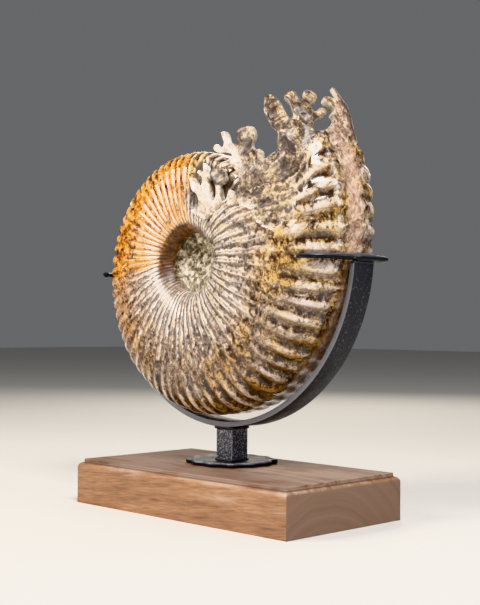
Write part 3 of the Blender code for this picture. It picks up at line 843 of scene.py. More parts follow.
bm = bmesh.new()
bmesh.ops.create_grid(bm, x_segments=1, y_segments=1, size=0.5)
bmesh.ops.scale(bm, verts=bm.verts, vec=(BAND_THICKNESS, BAND_WIDTH, 1))
bmesh.ops.bevel(
    bm, geom=bm.verts[:], offset=0.5 * MM, offset_type="OFFSET", segments=3, profile=0.5,
    affect="VERTICES", material=-1)
bmesh.ops.translate(bm, verts=bm.verts, vec=RING_CENTRE + Vector((RING_MIDDLE_RADIUS, 0, 0)))
right_end = ring_angle(RIGHT_CLAW_Z - UNDER_CLAW)
left_end = -math.pi - ring_angle(LEFT_CLAW_Z - UNDER_CLAW)
bmesh.ops.rotate(bm, verts=bm.verts, cent=RING_CENTRE, matrix=Matrix.Rotation(-right_end, 3, "Y"))
bmesh.ops.spin(
    bm, geom=bm.verts[:] + bm.edges[:] + bm.faces[:], cent=RING_CENTRE, axis=(0, 1, 0),
    angle=right_end - left_end, steps=150, use_duplicate=False)
# The band's cut front and back faces are painted bright: ground bright steel, and a painted highlight
band = steel_piece("bent_flat_bar", bm, "cradle_band", lambda points: (
    np.abs(points[:, 1] - STAND_Y) > BAND_WIDTH / 2 - 0.1 * MM).astype(float))

# %% The hammered post and the cut plate
POST_SIDE, POST_EDGE = 20.7 * MM, 1.4 * MM
POST_BOTTOM, POST_TOP = 43.3 * MM, 72.9 * MM
PLATE_BOTTOM = 40.3 * MM


def hammer(bm, depth, size, seed):
    """Sinks the surface by small dents, as a hammer does."""
    bm.normal_update()
    dents = depth * lumps_at(places_of(bm.verts), size, seed)
    for point, dent in zip(bm.verts, dents):
        point.co -= point.normal * dent


bm = box_mesh((POST_SIDE, POST_SIDE, POST_TOP - POST_BOTTOM), (STAND_X, STAND_Y, POST_BOTTOM))
rounded(bm, [e for e in bm.edges if abs(e.verts[0].co.z - e.verts[1].co.z) > MM], POST_EDGE, 3)
bmesh.ops.subdivide_edges(bm, edges=bm.edges, cuts=23, use_grid_fill=True)
hammer(bm, 0.45 * MM, 1.9 * MM, 51.0)
post = steel_piece("hammered_post", bm, "post", lambda points: smooth_step(
    np.abs(np.abs(points[:, 0] - STAND_X) - np.abs(points[:, 1] - STAND_Y)), 0.9 * MM, 0.2 * MM) * (
    np.hypot(points[:, 0] - STAND_X, points[:, 1] - STAND_Y) > 0.66 * POST_SIDE))


def plate_edge_radius(angle):
    """Points on the diagonals, rounded lobes beside them and a notch between lobes, in metres."""
    from_point = abs(math.degrees(angle) % 90 - 45)
    point = 5.2 * math.exp(-((from_point / 8.5) ** 2))
    lobe = 2.8 * math.exp(-(((from_point - 28) / 10) ** 2))
    return (36 + point + lobe) * MM


# From under the plate, over its thick rim, to the dished top: mm in from the outline and mm up
PLATE_PROFILE = (
    (1.0, 0.0), (0.3, 0.5), (0.0, 1.4), (0.0, 2.6), (0.3, 3.4), (1.0, 3.9), (2.0, 4.0), (3.0, 3.8),
    (4.2, 3.3), (6.0, 3.0), (12.0, 2.9),
)
bm = bmesh.new()
bmesh.ops.create_circle(bm, cap_ends=True, radius=1, segments=240)
rim, ring = bm.edges[:], bm.verts[:]
for number, (inwards, up) in enumerate(PLATE_PROFILE):
    if number:
        ring, rim = extruded(bm, rim)
    for point in ring:
        angle = math.atan2(point.co.y, point.co.x)
        away = plate_edge_radius(angle) - inwards * MM
        point.co = (away * math.cos(angle), away * math.sin(angle), up * MM)
bmesh.ops.holes_fill(bm, edges=rim)
hammer(bm, 0.2 * MM, 5 * MM, 57.0)
bmesh.ops.triangulate(bm, faces=[face for face in bm.faces if len(face.verts) > 4])
bmesh.ops.translate(bm, verts=bm.verts, vec=(STAND_X, STAND_Y, PLATE_BOTTOM))


def plate_wear_and_highlight(points):
    """The plate's rim is rubbed bright and carries a painted highlight, most of all at its four points."""
    angles = np.arctan2(points[:, 1] - STAND_Y, points[:, 0] - STAND_X)
    edge = np.array([plate_edge_radius(angle) for angle in angles.tolist()])
    inside = edge - np.hypot(points[:, 0] - STAND_X, points[:, 1] - STAND_Y)
    raised = smooth_step(points[:, 2], PLATE_BOTTOM + 2.2 * MM, PLATE_BOTTOM + 3.6 * MM)
    worn = lumps_at(points, 6 * MM, 61.0).clip(0, 1)
    return raised * (1 - smooth_step(inside, 1.5 * MM, 3.2 * MM)) * worn


plate = steel_piece("cut_foot_plate", bm, "foot_plate", plate_wear_and_highlight)

# %% The claws, and the welds that hold it all together
# Each claw's route: x and y in mm, and the rod's thickness there as a share
RIGHT_CLAW = (
    (112, -42, 0.75), (124, -34, 0.95), (133, -19, 1.0), (136.5, -4, 1.1), (137.5, 4, 1.5), (137.5, 18, 1.5),
    (137.5, 27, 1.1), (136, 41, 1.0), (128, 50, 0.9), (118, 54, 0.7),
)
LEFT_CLAW = (
    (-147, -27.5, 1.2), (-154, -22, 1.0), (-160.5, -8, 1.0), (-162.3, 4, 1.5), (-162.3, 18, 1.5),
    (-160, 28, 1.0), (-152, 37, 1.0), (-143, 43, 0.8),
)


def rod_mesh(points, cyclic, thickness, steps):
    """The mesh of a round rod along a smooth curve. Each point is a place and a share of thickness."""
    rod = bmesh.new()
    add_outcome(rod, smooth_curve(
        points, cyclic, dimensions="3D", bevel_depth=thickness, bevel_resolution=4, resolution_u=steps,
        use_fill_caps=not cyclic))
    bmesh.ops.remove_doubles(rod, verts=rod.verts, dist=0.01 * MM)
    return rod


claws = []
for name, node, route, height in (
        ("forged_right_claw", "right_claw", RIGHT_CLAW, RIGHT_CLAW_Z),
        ("forged_left_claw", "left_claw", LEFT_CLAW, LEFT_CLAW_Z)):
    rod = rod_mesh([((x * MM, y * MM, height), share) for x, y, share in route], False, CLAW_ROD, 12)
    hammer(rod, 0.22 * MM, 3 * MM, 67.0)
    # The upper half of each rod is painted bright as a painted highlight, where light falls from above
    claws.append(steel_piece(name, rod, node, lambda points, height=height: smooth_step(
        points[:, 2] - height, 0.6 * MM, 2.4 * MM) * 0.5))


# A weld's corners are cut off by this much, and it has one ripple in this length
WELD_CORNER, WELD_RIPPLE = 1.2 * MM, 1.6 * MM


def weld_bead(name, centre, half_x, half_y, thickness, seed):
    """A lumpy bead of weld round a rectangle, such as the foot of a bar."""
    cut_x, cut_y = half_x - WELD_CORNER, half_y - WELD_CORNER
    corners = [Vector((x, y, 0)) for x, y in (
        (half_x, -cut_y), (half_x, cut_y), (cut_x, half_y), (-cut_x, half_y),
        (-half_x, cut_y), (-half_x, -cut_y), (-cut_x, -half_y), (cut_x, -half_y))]
    points = []
    numbers = np.random.default_rng(seed)
    for first, second in zip(corners, corners[1:] + corners[:1]):
        count = max(1, round((second - first).length / WELD_RIPPLE))
        for step in range(count):
            wander = Vector(numbers.uniform(-0.18, 0.18, 3)) * MM
            place = Vector(centre) + first.lerp(second, step / count) + wander
            points.append((place, float(numbers.uniform(0.75, 1.25))))
    rod = rod_mesh(points, True, thickness, 3)
    return steel_piece(name, rod, None, lambda places: np.full(len(places), 0.1))


def band_end_x(side, height):
    """Where the band ends at this claw, to the right or to the left."""
    drop = height - UNDER_CLAW - RING_CENTRE.z
    return RING_CENTRE.x + side * math.sqrt(RING_MIDDLE_RADIUS**2 - drop**2)


welds = [
    weld_bead(name, (x, STAND_Y, z), half_x * MM, half_y * MM, thickness * MM, seed)
    for name, x, z, half_x, half_y, thickness, seed in (
        ("weld_under_ring", STAND_X, POST_TOP - 0.4 * MM, 10.7, 10.7, 1.15, 3),
        ("weld_on_plate", STAND_X, POST_BOTTOM + 0.4 * MM, 10.7, 10.7, 0.9, 4),
        ("weld_right_claw", band_end_x(1, RIGHT_CLAW_Z), RIGHT_CLAW_Z - 3.9 * MM, 2.5, 12.4, 0.9, 5),
        ("weld_left_claw", band_end_x(-1, LEFT_CLAW_Z), LEFT_CLAW_Z - 3.9 * MM, 2.5, 12.4, 0.9, 6))]

# %% [markdown]
# ## The block
#
# The stand's foot is one block of hardwood. A router cut a quarter round along the top edges and
# left a small step above it, and sandpaper then softened every corner.

# %% The wooden block
BLOCK = Vector((261, 143, 40)) * MM
TOP_STEP = 3.2 * MM
MOULDING_RADIUS = 4.4 * MM
body = BLOCK.z - TOP_STEP
bm = box_mesh((BLOCK.x, BLOCK.y, body), (0, 0, 0))
rounded(bm, [e for e in bm.edges if all(p.co.z > body / 2 for p in e.verts)], MOULDING_RADIUS, 8)
top = max(bm.faces, key=lambda face: face.calc_center_median().z)
raised = bmesh.ops.extrude_face_region(bm, geom=[top])["geom"]
lifted = [item for item in raised if isinstance(item, bmesh.types.BMVert)]
bmesh.ops.translate(bm, verts=lifted, vec=(0, 0, TOP_STEP))
bmesh.ops.delete(bm, geom=[top], context="FACES_ONLY")
print("block: open edges", sum(not e.is_manifold for e in bm.edges))
bmesh.ops.recalc_face_normals(bm, faces=bm.faces)
block = object_of("limed_block", bm, SHARP_FROM)
worn = block.modifiers.new("worn_edges", "BEVEL")
worn.width = 0.5 * MM
worn.segments = 2
worn.limit_method = "ANGLE"
worn.angle_limit = math.radians(SHARP_FROM)
worn.harden_normals = True
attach(block, "root")
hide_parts("wooden_base")
print("block edges rounded, faces:", len(block.data.polygons))

# %% [markdown]
# ## The fossil's finish
#
# The shell is aragonite and calcite, ground down by hand and polished until it shines like
# glass. The grinding went through several thin layers, so the colour shows how deep it went:
# dark brown, ochre, khaki and cream patches a few millimetres wide, with thin dark outlines
# where one layer ends. The crests of the ribs were ground most and come out pale. The material
# works this out the same way: noise and the height of the ribs give a depth of grinding, and a
# colour ramp with many narrow steps gives that depth its layer.

# %% Polished fossil: its patterns
# Rough stone lies over the foot of the umbilicus wall, from this far round the section
WALL_FOOT = SEAM_REACH - 0.42 * (SEAM_REACH - COVERED_REACH) + 0.06
print("reach of the wall's top, foot and seam: %.3f %.3f %.3f" % (COVERED_REACH, WALL_FOOT, SEAM_REACH))


def place_in_mm(tree):
    """The place on the object in millimetres, so that a pattern's scale is one over its real size."""
    place = add(tree, "TexCoord").outputs["Object"]
    return add(tree, "VectorMath", {0: place, "Scale": 1 / MM}, operation="SCALE")


fossil, tree = new_material("ground_and_polished_fossil_shell")
in_mm = place_in_mm(tree)
place = add(tree, "SeparateXYZ", {"Vector": in_mm})
place_x, height = place.outputs["X"], place.outputs["Z"]
smooth_rib, reach_signed, amber, flaked, pit, pink, rim, chalk, inside, turns_in = (
    add(tree, "Attribute", attribute_name=name).outputs["Fac"]
    for name in ("rib", "reach", "amber", "flaked", "pit", "pink", "rim", "chalk", "inside", "turns_in"))
away = add(tree, "Math", {0: reach_signed}, operation="ABSOLUTE")
# Each noise: size of its lumps in mm, detail, roughness and distortion
patches, flecks, grain, tints, bends, rust_spots, dark_spots = (
    add(tree, "TexNoise", {
        "Vector": in_mm, "Scale": 1 / size, "Detail": detail, "Roughness": rough, "Distortion": distortion})
    for size, detail, rough, distortion in (
        (10, 5, 0.6, 1.6), (3.5, 4, 0.6, 0.9), (1, 3, 0.6, 0), (26, 2, 0.5, 0.5), (7, 3, 0.5, 2.2),
        (4.5, 3, 0.5, 1), (1.8, 3, 0.7, 0)))
# Streaks run along the ribs, one rib wide and a fifth of the coil's radius long
along_ribs = add(tree, "CombineXYZ", {
    number: add(tree, "Math", {0: source, 1: scale}, operation="MULTIPLY")
    for number, (source, scale) in enumerate(((smooth_rib, 1.5), (reach_signed, 7.0)))})
streaks = add(tree, "TexNoise", {
    "Vector": along_ribs, "Scale": 1.0, "Detail": 3.0, "Roughness": 0.55, "Distortion": 0.4})
print("fossil nodes so far:", len(tree.nodes))

# %% Polished fossil: how deep the grinding went
# The ribs' outlines are a little ragged
rib = smooth_rib
for pattern, share in ((flecks, 0.34), (patches, 0.75)):
    rib = add(tree, "Math", {0: pattern, 1: share, 2: rib}, operation="MULTIPLY_ADD")
rib = add(tree, "Math", {0: rib, 1: 0.54}, operation="SUBTRACT")
# The crest of a rib lies halfway between two whole numbers: crest is 1 there, and 0 in the grooves
turned = add(tree, "Math", {0: rib, 1: 2 * math.pi}, operation="MULTIPLY")
wave = add(tree, "Math", {0: turned}, operation="COSINE")
crest = add(tree, "Math", {0: wave, 1: -0.5, 2: 0.5}, operation="MULTIPLY_ADD")
shoulder = add(tree, "ValToRGB", {"Fac": away}, stops=[
    (0.0, "000000"), (0.10, "000000"), (0.15, "F4F4F4"), (0.30, "D8D8D8"), (0.42, "707070"),
    (0.55, "606060"), (0.72, "606060")])
rib_pull = add(tree, "Math", {0: crest, 1: 0.42}, operation="SUBTRACT")
rib_share = add(tree, "Math", {0: rib_pull, 1: shoulder}, operation="MULTIPLY")
depth = -0.70
for pattern, share in ((patches, 1.7), (flecks, 1.4), (streaks, 1.0), (grain, 0.25)):
    depth = add(tree, "Math", {0: pattern, 1: share, 2: depth}, operation="MULTIPLY_ADD")
depth = add(tree, "Math", {0: depth, 1: 1.16}, operation="SUBTRACT")
depth = add(tree, "Math", {0: rib_share, 1: 0.62, 2: depth}, operation="MULTIPLY_ADD", use_clamp=True)
print("fossil nodes so far:", len(tree.nodes))

# %% Polished fossil: edges and distances
# A share of a noise makes an edge ragged
amber_edge, hub_edge, venter_edge, foot_edge, worn_and_glint_edge, bar_place = (
    add(tree, "Math", {0: pattern, 1: share, 2: source}, operation="MULTIPLY_ADD")
    for pattern, share, source in (
        (patches, 1.6, amber), (patches, 0.6, away), (flecks, 0.06, away), (flecks, 0.12, away),
        (flecks, 0.8, streaks), (flecks, 0.12, smooth_rib)))
bar_turned = add(tree, "Math", {0: bar_place, 1: 2 * math.pi}, operation="MULTIPLY")
bar_wave = add(tree, "Math", {0: bar_turned}, operation="COSINE")
in_rib = add(tree, "Math", {0: rib}, operation="FRACT")
past_middles = [
    add(tree, "Math", {0: source, 1: middle}, operation="SUBTRACT")
    for source, middle in ((in_rib, 0.5), (bar_wave, 0.15), (bends, 0.5))]
from_crest, from_line, from_vein = (
    add(tree, "Math", {0: past_middle}, operation="ABSOLUTE") for past_middle in past_middles)
shares = {
    name: add(tree, "MapRange", {
        "Value": source, "From Min": low, "From Max": high, "To Max": most}, interpolation_type="SMOOTHSTEP")
    for name, source, low, high, most in (
        ("amber", amber_edge, 1.15, 1.4, 1.0), ("near_hub", hub_edge, 0.70, 1.10, 1.0),
        ("venter", venter_edge, 0.10, 0.065, 0.8))}
shares["not_amber"] = add(tree, "Math", {0: shares["amber"], 1: -0.8, 2: 1.0}, operation="MULTIPLY_ADD")

# %% Polished fossil: its colours, each a ramp from little to much ground away, or round the section
ramps = {name: add(tree, "ValToRGB", {"Fac": source}, stops=stops) for name, source, stops in (
    ("layers", depth, [
        (0.00, "33241A"), (0.13, "573F2C"), (0.22, "7C6146"), (0.26, "412F22"), (0.29, "8F7350"),
        (0.37, "A68862"), (0.41, "5E4832"), (0.44, "B69A70"), (0.52, "C8B084"), (0.56, "735A42"),
        (0.585, "CFB890"), (0.68, "DDCBAC"), (0.72, "8C7458"), (0.745, "E3D4BA"), (0.85, "F0E7D8"),
        (1.0, "FBF6EE")]),
    ("amber", depth, [
        (0.00, "3A2412"), (0.12, "804A18"), (0.24, "B4701E"), (0.28, "6E4420"), (0.31, "CC842A"),
        (0.44, "E0A03C"), (0.52, "F0C05C"), (0.56, "E8AC4C"), (0.60, "9C7040"), (0.63, "E6B468"),
        (0.80, "F2D294"), (1.0, "FBEDD4")]),
    ("grey", depth, [
        (0.00, "33261F"), (0.15, "5F4C40"), (0.26, "8E7C6E"), (0.30, "4A3A30"), (0.33, "A39282"),
        (0.46, "B8A899"), (0.50, "6C5848"), (0.53, "C6B8AA"), (0.70, "DFD5CC"), (0.85, "F2ECE6"),
        (1.0, "FCFAF8")]),
    ("tint", tints, [(0.30, "EDE8EE"), (0.52, "FFFCF6"), (0.60, "FFF5DE"), (0.74, "F8EACC")]),
    ("white_line", from_crest, [
        (0.03, "505050"), (0.11, "404040"), (0.15, "FFFFFF"), (0.215, "FFFFFF"), (0.26, "000000")]),
    # The wall's ramp is dark brown: the wall's own orange brown with painted shade
    ("wall", depth, [(0.0, "2C1A0D"), (0.4, "583616"), (0.7, "7E5226"), (1.0, "A67A48")]),
    ("on_bars", away, [(0.09, "000000"), (0.13, "FFFFFF"), (0.26, "FFFFFF"), (0.40, "000000")]),
    ("venter", depth, [(0.0, "8E705E"), (0.35, "C4A38E"), (0.6, "DEC2AC"), (1.0, "F2E4D6")]),
    ("flaked", depth, [
        (0.0, "3A2E26"), (0.20, "5E4C3D"), (0.32, "8A7663"), (0.35, "54463A"), (0.38, "9A8770"),
        (0.52, "B8A480"), (0.55, "7A6858"), (0.58, "C6B498"), (0.80, "DFD0BC"), (1.0, "F4ECE0")]),
    ("step_line", flaked, [(0.05, "000000"), (0.2, "8A8A8A"), (0.45, "8A8A8A"), (0.6, "000000")]),
    ("horn", depth, [
        (0.0, "6A5244"), (0.3, "A08270"), (0.34, "7C6252"), (0.38, "B49684"), (0.6, "CCB09C"),
        (1.0, "EADACC")]),
    ("chalk", depth, [
        (0.0, "A8927C"), (0.16, "D8C8B8"), (0.32, "F4ECE4"), (0.5, "E4D6C8"), (0.56, "FBF6F2"),
        (1.0, "FFFFFF")]),
    ("inside", depth, [(0.0, "33241A"), (0.35, "5E4630"), (0.6, "8A6E4E"), (1.0, "C3A888")]),
    ("core", depth, [
        (0.0, "332D22"), (0.20, "6A614B"), (0.32, "AFA184"), (0.40, "7C7158"), (0.44, "D6CAB2"),
        (0.65, "EEE6D6"), (1.0, "FCFAF4")]))}
near_hub_pale, near_hub_groove = (
    add(tree, "Mix", {0: shares["amber"], 6: colour(elsewhere), 7: colour(in_amber)}, data_type="RGBA")
    for elsewhere, in_amber in (("E8E0DA", "F4D8A8"), ("4E3624", "A85A14")))
print("fossil nodes so far:", len(tree.nodes))

# %% Polished fossil: where each colour shows
# A share follows a source: it goes from the least to the most between these two values of the source
for name, source, low, high, least, most in (
        ("grey", tints, 0.52, 0.40, 0.0, 0.75),
        ("stained", tints, 0.52, 0.62, 0.0, 0.58), ("in_pale", depth, 0.34, 0.50, 0.0, 1.0),
        ("orange", flecks, 0.42, 0.6, 0.0, 1.0), ("under_amber", place_x, -70.0, -130.0, 0.0, 0.8),
        ("low_side", height, 240.0, 140.0, 0.0, 0.85),
        ("broken_up", streaks, 0.42, 0.56, 0.0, 1.0), ("groove", from_crest, 0.27, 0.46, 0.0, 0.7),
        ("paler", flecks, 0.35, 0.6, 0.1, 0.5),
        # The umbilicus wall is darkened only on its far, upper side, as painted shade
        ("wall", away, 0.85, 0.89, 0.0, 1.0), ("far_side", place_x, -22.0, -44.0, 0.2, 1.0),
        ("upper", height, 194.0, 212.0, 0.2, 1.0),
        # The pale bar on each shoulder rib is worn cream and a painted highlight
        ("line", from_line, 0.24, 0.06, 0.0, 0.55), ("bar", bar_wave, -0.35, -0.8, 0.0, 0.6),
        ("worn_and_glint_here", worn_and_glint_edge, 0.80, 1.0, 0.0, 1.0),
        ("vein", from_vein, 0.012, 0.003, 0.0, 0.5), ("rust", rust_spots, 0.67, 0.73, 0.0, 0.6),
        ("dark", dark_spots, 0.64, 0.70, 0.0, 0.8), ("pit", pit, 0.25, 0.85, 0.0, 0.85),
        ("pink_flecks", flecks, 0.38, 0.62, 0.25, 0.9), ("rim", rim, 0.15, 0.6, 0.0, 0.55),
        ("inner_turns", turns_in, 0.0, 0.25, 0.0, 0.8),
        ("at_foot", foot_edge, WALL_FOOT, WALL_FOOT + 0.03, 0.0, 0.75),
        ("gloss", patches, 0.3, 0.7, 0.26, 0.12)):
    shares[name] = add(tree, "MapRange", {
        "Value": source, "From Min": low, "From Max": high, "To Min": least, "To Max": most})
shares |= {
    "white_line": ramps["white_line"], "on_bars": ramps["on_bars"], "pink": pink, "flaked": flaked,
    "most": 0.7}
# Where several of them must hold at once, they are multiplied
for name, *factors in (
        ("stained", "in_pale"), ("orange", "under_amber"), ("white_line", "broken_up"), ("paler", "near_hub"),
        ("groove", "near_hub"), ("white_line", "near_hub"), ("wall", "far_side", "upper"),
        ("on_bars", "not_amber"), ("line", "on_bars"), ("bar", "on_bars", "worn_and_glint_here"),
        ("venter", "not_amber"), ("pink", "pink_flecks"), ("flaked", "most")):
    for factor in factors:
        shares[name] = add(tree, "Math", {0: shares[name], 1: shares[factor]}, operation="MULTIPLY")
shares["core"] = add(tree, "Math", {0: shares["inner_turns"], 1: shares["at_foot"]}, operation="MAXIMUM")

# %% Polished fossil: the colours, laid over each other in this order
base = ramps["layers"]
for share, tint, blend in (
        (shares["grey"], ramps["grey"], "MIX"),
        (0.85, ramps["tint"], "MULTIPLY"),
        # The pale layers are stained yellow in places, and under the amber part some flecks are orange
        (shares["stained"], "E4BE68", "MIX"),
        (shares["orange"], "D89C66", "MIX"),
        (shares["amber"], ramps["amber"], "MIX"),
        # Towards the bottom of the coil the colour is multiplied darker and browner
        (shares["low_side"], "CDBDA8", "MULTIPLY"),
        # Near the umbilicus each crest is worn to a grey tan core between two thin white lines
        # Near the umbilicus the shell is washed paler: its own pale grey, and a painted highlight of glassy
        # streaks
        (shares["paler"], near_hub_pale, "MIX"),
        (shares["groove"], near_hub_groove, "MIX"),
        (shares["white_line"], "FFFBF4", "MIX"),
        # The wall of the umbilicus is smooth and orange brown, and its far, upper part is painted dark brown
        # as painted shade
        (shares["wall"], ramps["wall"], "MIX"),
        # On the shoulder the bars are worn to a pale cream between thin dark lines, and the cream is also a
        # painted highlight of white glints on their crests
        (shares["line"], "49382B", "MIX"),
        (shares["bar"], "EFE0D4", "MIX"),
        # The smooth band along the venter is pinkish tan
        (shares["venter"], ramps["venter"], "MIX"),
        (shares["vein"], "4E3B2E", "MIX"),
        (shares["rust"], "A65A30", "MIX"),
        (shares["dark"], "2E221B", "MIX"),
        # Where the outer shell has flaked off, the stone is greyer and rough, with a white line at the step
        (shares["flaked"], ramps["flaked"], "MIX"),
        (ramps["step_line"], "F6EEE2", "MIX"),
        # Pits and the hollow under the small branch are painted dark brown as painted shade
        (shares["pit"], "3B2A1F", "MIX"),
        (shares["pink"], ramps["horn"], "MIX"),
        # The lobes' rims are worn to a pale grey and carry a painted pale edge highlight, and some lobes are
        # chalky white
        (shares["rim"], "D6C9BA", "MIX"),
        (chalk, ramps["chalk"], "MIX"),
        (inside, ramps["inside"], "MIX"),
        (shares["core"], ramps["core"], "MIX")):
    tint = colour(tint) if isinstance(tint, str) else tint
    base = add(tree, "Mix", {0: share, 6: base, 7: tint}, data_type="RGBA", blend_type=blend)

# %% Polished fossil: its gloss
# Polished stone has a clear gloss over all, duller where it is coarse, with ripples 0.1 mm deep
ripple = add(tree, "Math", {0: flecks, 1: 0.7, 2: grain}, operation="MULTIPLY_ADD")
bump = add(tree, "Bump", {"Strength": 0.16, "Distance": 0.5 * MM, "Height": ripple})
dull = add(tree, "Math", {0: shares["wall"], 1: flaked}, operation="MAXIMUM")
dull = add(tree, "Math", {0: dull, 1: pit}, operation="MAXIMUM", use_clamp=True)
gloss, coat = (
    add(tree, "Math", {0: dull, 1: share, 2: source}, operation="MULTIPLY_ADD")
    for share, source in ((0.26, shares["gloss"]), (-0.4, 0.4)))
shader = add(tree, "BsdfPrincipled", {
    "Base Color": base, "Roughness": gloss, "IOR": 1.55, "Coat Weight": coat, "Coat Roughness": 0.07,
    "Normal": bump})
add(tree, "OutputMaterial", {"Surface": shader})
for piece in (shell, fronds, branch):
    piece.data.materials.append(fossil)
print("fossil nodes:", len(tree.nodes))

# %% [markdown]
# ## Forged steel and limed wood
#
# The cradle is mild steel, blackened in the fire and waxed. The wax leaves a dark satin skin
# with pale specks where the scale came off. The block is brown hardwood. Lime paste was rubbed
# into its grain, and its top is painted darker as painted shade.

# %% Blackened steel
def blackened_steel(name, code, roughness, speck, speck_size, dent_depth, bright_code):
    """Steel blackened by fire and waxed: near black, with a broad soft sheen and fine pale specks."""
    made, tree = new_material(name)
    in_mm = place_in_mm(tree)
    specks = add(tree, "TexNoise", {
        "Vector": in_mm, "Scale": 1 / speck_size, "Detail": 3.0, "Roughness": 0.65})
    clouds = add(tree, "TexNoise", {"Vector": in_mm, "Scale": 1 / 14, "Detail": 3.0})
    bare = add(tree, "MapRange", {
        "Value": specks, "From Min": 0.62 - 0.12 * speck, "From Max": 0.72 - 0.10 * speck, "To Max": speck})
    bright = add(tree, "Attribute", attribute_name="bright").outputs["Fac"]
    base = colour(code)
    # The stored brightness paints the steel pale: rubbed wear on edges and rims, and a painted highlight on
    # some pieces
    for share, tint in ((bright, bright_code), (bare, "A9A9AE")):
        base = add(tree, "Mix", {0: share, 6: base, 7: colour(tint)}, data_type="RGBA")
    worn = add(tree, "MapRange", {
        "Value": clouds, "From Min": 0.3, "From Max": 0.7,
        "To Min": roughness + 0.08, "To Max": roughness - 0.08})
    bump = add(tree, "Bump", {"Strength": 0.6, "Distance": dent_depth * MM, "Height": specks})
    shader = add(tree, "BsdfPrincipled", {
        "Base Color": base, "Metallic": 0.4, "Roughness": worn, "Normal": bump})
    add(tree, "OutputMaterial", {"Surface": shader})
    return made


# Pieces, slot, material's name, colour, roughness, share of specks, their size and depth in mm, and colour
# where rubbed bright and where a painted highlight is laid
STEELS = (
    ([band] + welds, "cradle_band_steel", "blackened_flat_bar_steel",
     "313237", 0.46, 0.32, 1.7, 0.5, "7C7D82"),
    ([post], "post_steel", "hammered_black_steel", "484950", 0.42, 0.9, 1.3, 0.9, "9A9BA2"),
    ([plate], "foot_plate_steel", "burnished_black_steel_plate", "16161A", 0.46, 0.1, 3.0, 0.3, "8E8E96"),
    ([claws[0]], "right_claw_steel", "drawn_black_steel_rod", "1E2024", 0.36, 0.2, 2.5, 0.3, "8C93A2"),
    ([claws[1]], "left_claw_steel", "drawn_black_steel_rod_of_left_claw",
     "1E2024", 0.36, 0.2, 2.5, 0.3, "8C93A2"),
)
for pieces, slot, name, *finish in STEELS:
    steel = blackened_steel(name, *finish)
    for piece in pieces:
        piece.data.materials.append(steel)
    print(name, "on", [piece.name for piece in pieces])

# %% Limed wood: its grain
limed, tree = new_material("limed_brown_wood")
in_mm = place_in_mm(tree)
place_x, place_y, place_z = add(tree, "SeparateXYZ", {"Vector": in_mm}).outputs
# The grain runs along the block, so the pattern is drawn out 20 times as long as it is wide
leaned = add(tree, "Mapping", {"Vector": in_mm, "Rotation": (0.0, math.radians(4), math.radians(3))})
drawn_out = add(tree, "Mapping", {"Vector": leaned, "Scale": (1 / 20, 1.0, 1.0)})
fibres, bands, stains = (
    add(tree, "TexNoise", {
        "Vector": place, "Scale": 1 / size, "Detail": detail, "Roughness": rough, "Distortion": distortion})
    for place, size, detail, rough, distortion in (
        (drawn_out, 1.3, 5, 0.7, 0.3), (drawn_out, 7, 4, 0.6, 0.5), (in_mm, 45, 3, 0.5, 0)))
tone = 0.05
for pattern, share in ((bands, 0.8), (fibres, 1.2)):
    tone = add(tree, "Math", {0: pattern, 1: share, 2: tone}, operation="MULTIPLY_ADD")
tone = add(tree, "Math", {0: tone, 1: 0.52}, operation="SUBTRACT")
wood = add(tree, "ValToRGB", {"Fac": tone}, stops=[
    (0.10, "573E2E"), (0.34, "7C5A44"), (0.50, "906A4D"), (0.68, "9F7859"), (0.95, "B28C6E")])
# The end faces cut across the fibres, so year rings show there, curved round the pith under the block.
# Their colours are darker than the long faces: darker end grain, and painted shade.
PITH_Y, PITH_Z = -25.0, -55.0
to_pith = add(tree, "CombineXYZ", {
    0: 0.0, 1: add(tree, "Math", {0: place_y, 1: -PITH_Y}, operation="ADD"),
    2: add(tree, "Math", {0: place_z, 1: -PITH_Z}, operation="ADD")})
from_pith = add(tree, "VectorMath", {0: to_pith}, operation="LENGTH")
rings = add(tree, "TexNoise", {
    "W": add(tree, "Math", {0: stains, 1: 12.0, 2: from_pith}, operation="MULTIPLY_ADD"),
    "Scale": 1 / 10, "Detail": 4.0, "Roughness": 0.6}, noise_dimensions="1D")
end_tone = add(tree, "ValToRGB", {"Fac": rings}, stops=[
    (0.25, "6C5446"), (0.42, "775E4E"), (0.60, "7B6252"), (0.8, "83695A")])
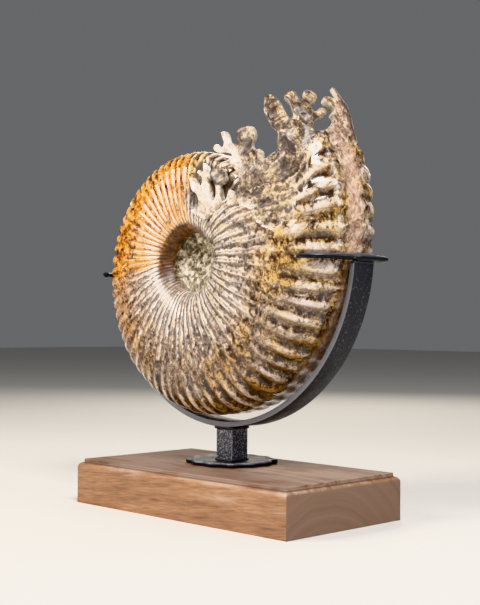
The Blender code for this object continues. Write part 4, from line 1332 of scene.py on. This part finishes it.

# %% Limed wood: lime, wear and painted shade
far_x, far_y = (add(tree, "Math", {0: source}, operation="ABSOLUTE") for source in (place_x, place_y))
STEP_FOOT = (BLOCK.z - TOP_STEP) / MM + 0.1
past_x, past_y, over_step = (
    add(tree, "Math", {0: source, 1: border}, operation="SUBTRACT") for source, border in (
        (far_x, (BLOCK.x / 2 - MOULDING_RADIUS) / MM), (far_y, (BLOCK.y / 2 - MOULDING_RADIUS) / MM),
        (place_z, STEP_FOOT)))
past_edge = add(tree, "Math", {0: past_x, 1: past_y}, operation="MAXIMUM")
from_step = add(tree, "Math", {0: over_step}, operation="ABSOLUTE")
shares = {
    name: add(tree, "MapRange", {
        "Value": source, "From Min": low, "From Max": high, "To Min": least, "To Max": most})
    for name, source, low, high, least, most in (
        ("near_top", place_z, 33.0, 38.0, -0.24, 0.10), ("on_end", far_x, 129.6, 130.3, 0.0, 1.0),
        ("in_corner", from_step, 0.7, 0.2, 0.0, 0.6), ("past_edge", past_edge, -1.0, -0.3, 0.0, 1.0),
        ("high", place_z, 38.8, 39.6, 0.0, 1.0), ("rubbed", bands, 0.38, 0.56, 0.0, 0.7),
        ("on_top", place_z, 36.0, 39.5, 0.0, 0.85))}
lime = add(tree, "Math", {0: stains, 1: shares["near_top"]}, operation="ADD")
lime = add(tree, "Math", {0: bands, 1: 0.9, 2: lime}, operation="MULTIPLY_ADD")
lime = add(tree, "MapRange", {"Value": lime, "From Min": 0.86, "From Max": 1.10, "To Max": 0.75})
rubbed = shares["rubbed"]
for factor in (shares["past_edge"], shares["high"]):
    rubbed = add(tree, "Math", {0: rubbed, 1: factor}, operation="MULTIPLY")
for share, tint, blend in (
        # Lime paste is left in the grain of the top face and greys it
        (lime, colour("B29C8C"), "MIX"),
        # The end faces take the darker ring colours: end grain, and painted shade
        (shares["on_end"], end_tone, "MIX"),
        # The corner under the step is darker, and the step's own edge is rubbed pale
        (shares["in_corner"], colour("3C2B21"), "MIX"),
        (rubbed, colour("D2BEAC"), "MIX"),
        # The top is painted darker as painted shade
        (shares["on_top"], colour("B0A49E"), "MULTIPLY")):
    wood = add(tree, "Mix", {0: share, 6: wood, 7: tint}, data_type="RGBA", blend_type=blend)
bump = add(tree, "Bump", {"Strength": 0.4, "Distance": 0.25 * MM, "Height": fibres})
shader = add(tree, "BsdfPrincipled", {"Base Color": wood, "Roughness": 0.62, "Normal": bump})
add(tree, "OutputMaterial", {"Surface": shader})
block.data.materials.append(limed)
print("wood nodes:", len(tree.nodes))

# %% [markdown]
# ## Measure and finish
#
# Both boxes, of the solids and of the dressed model, are printed side by side.

# %% Both boxes, printed side by side
shown_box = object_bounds()
boxes = {
    "cad": [[float(value) for value in corner] for corner in solid_box],
    "visual": [[float(value) for value in corner] for corner in shown_box],
}
for name, box in boxes.items():
    print(name, [[round(value / MM, 1) for value in corner] for corner in box])
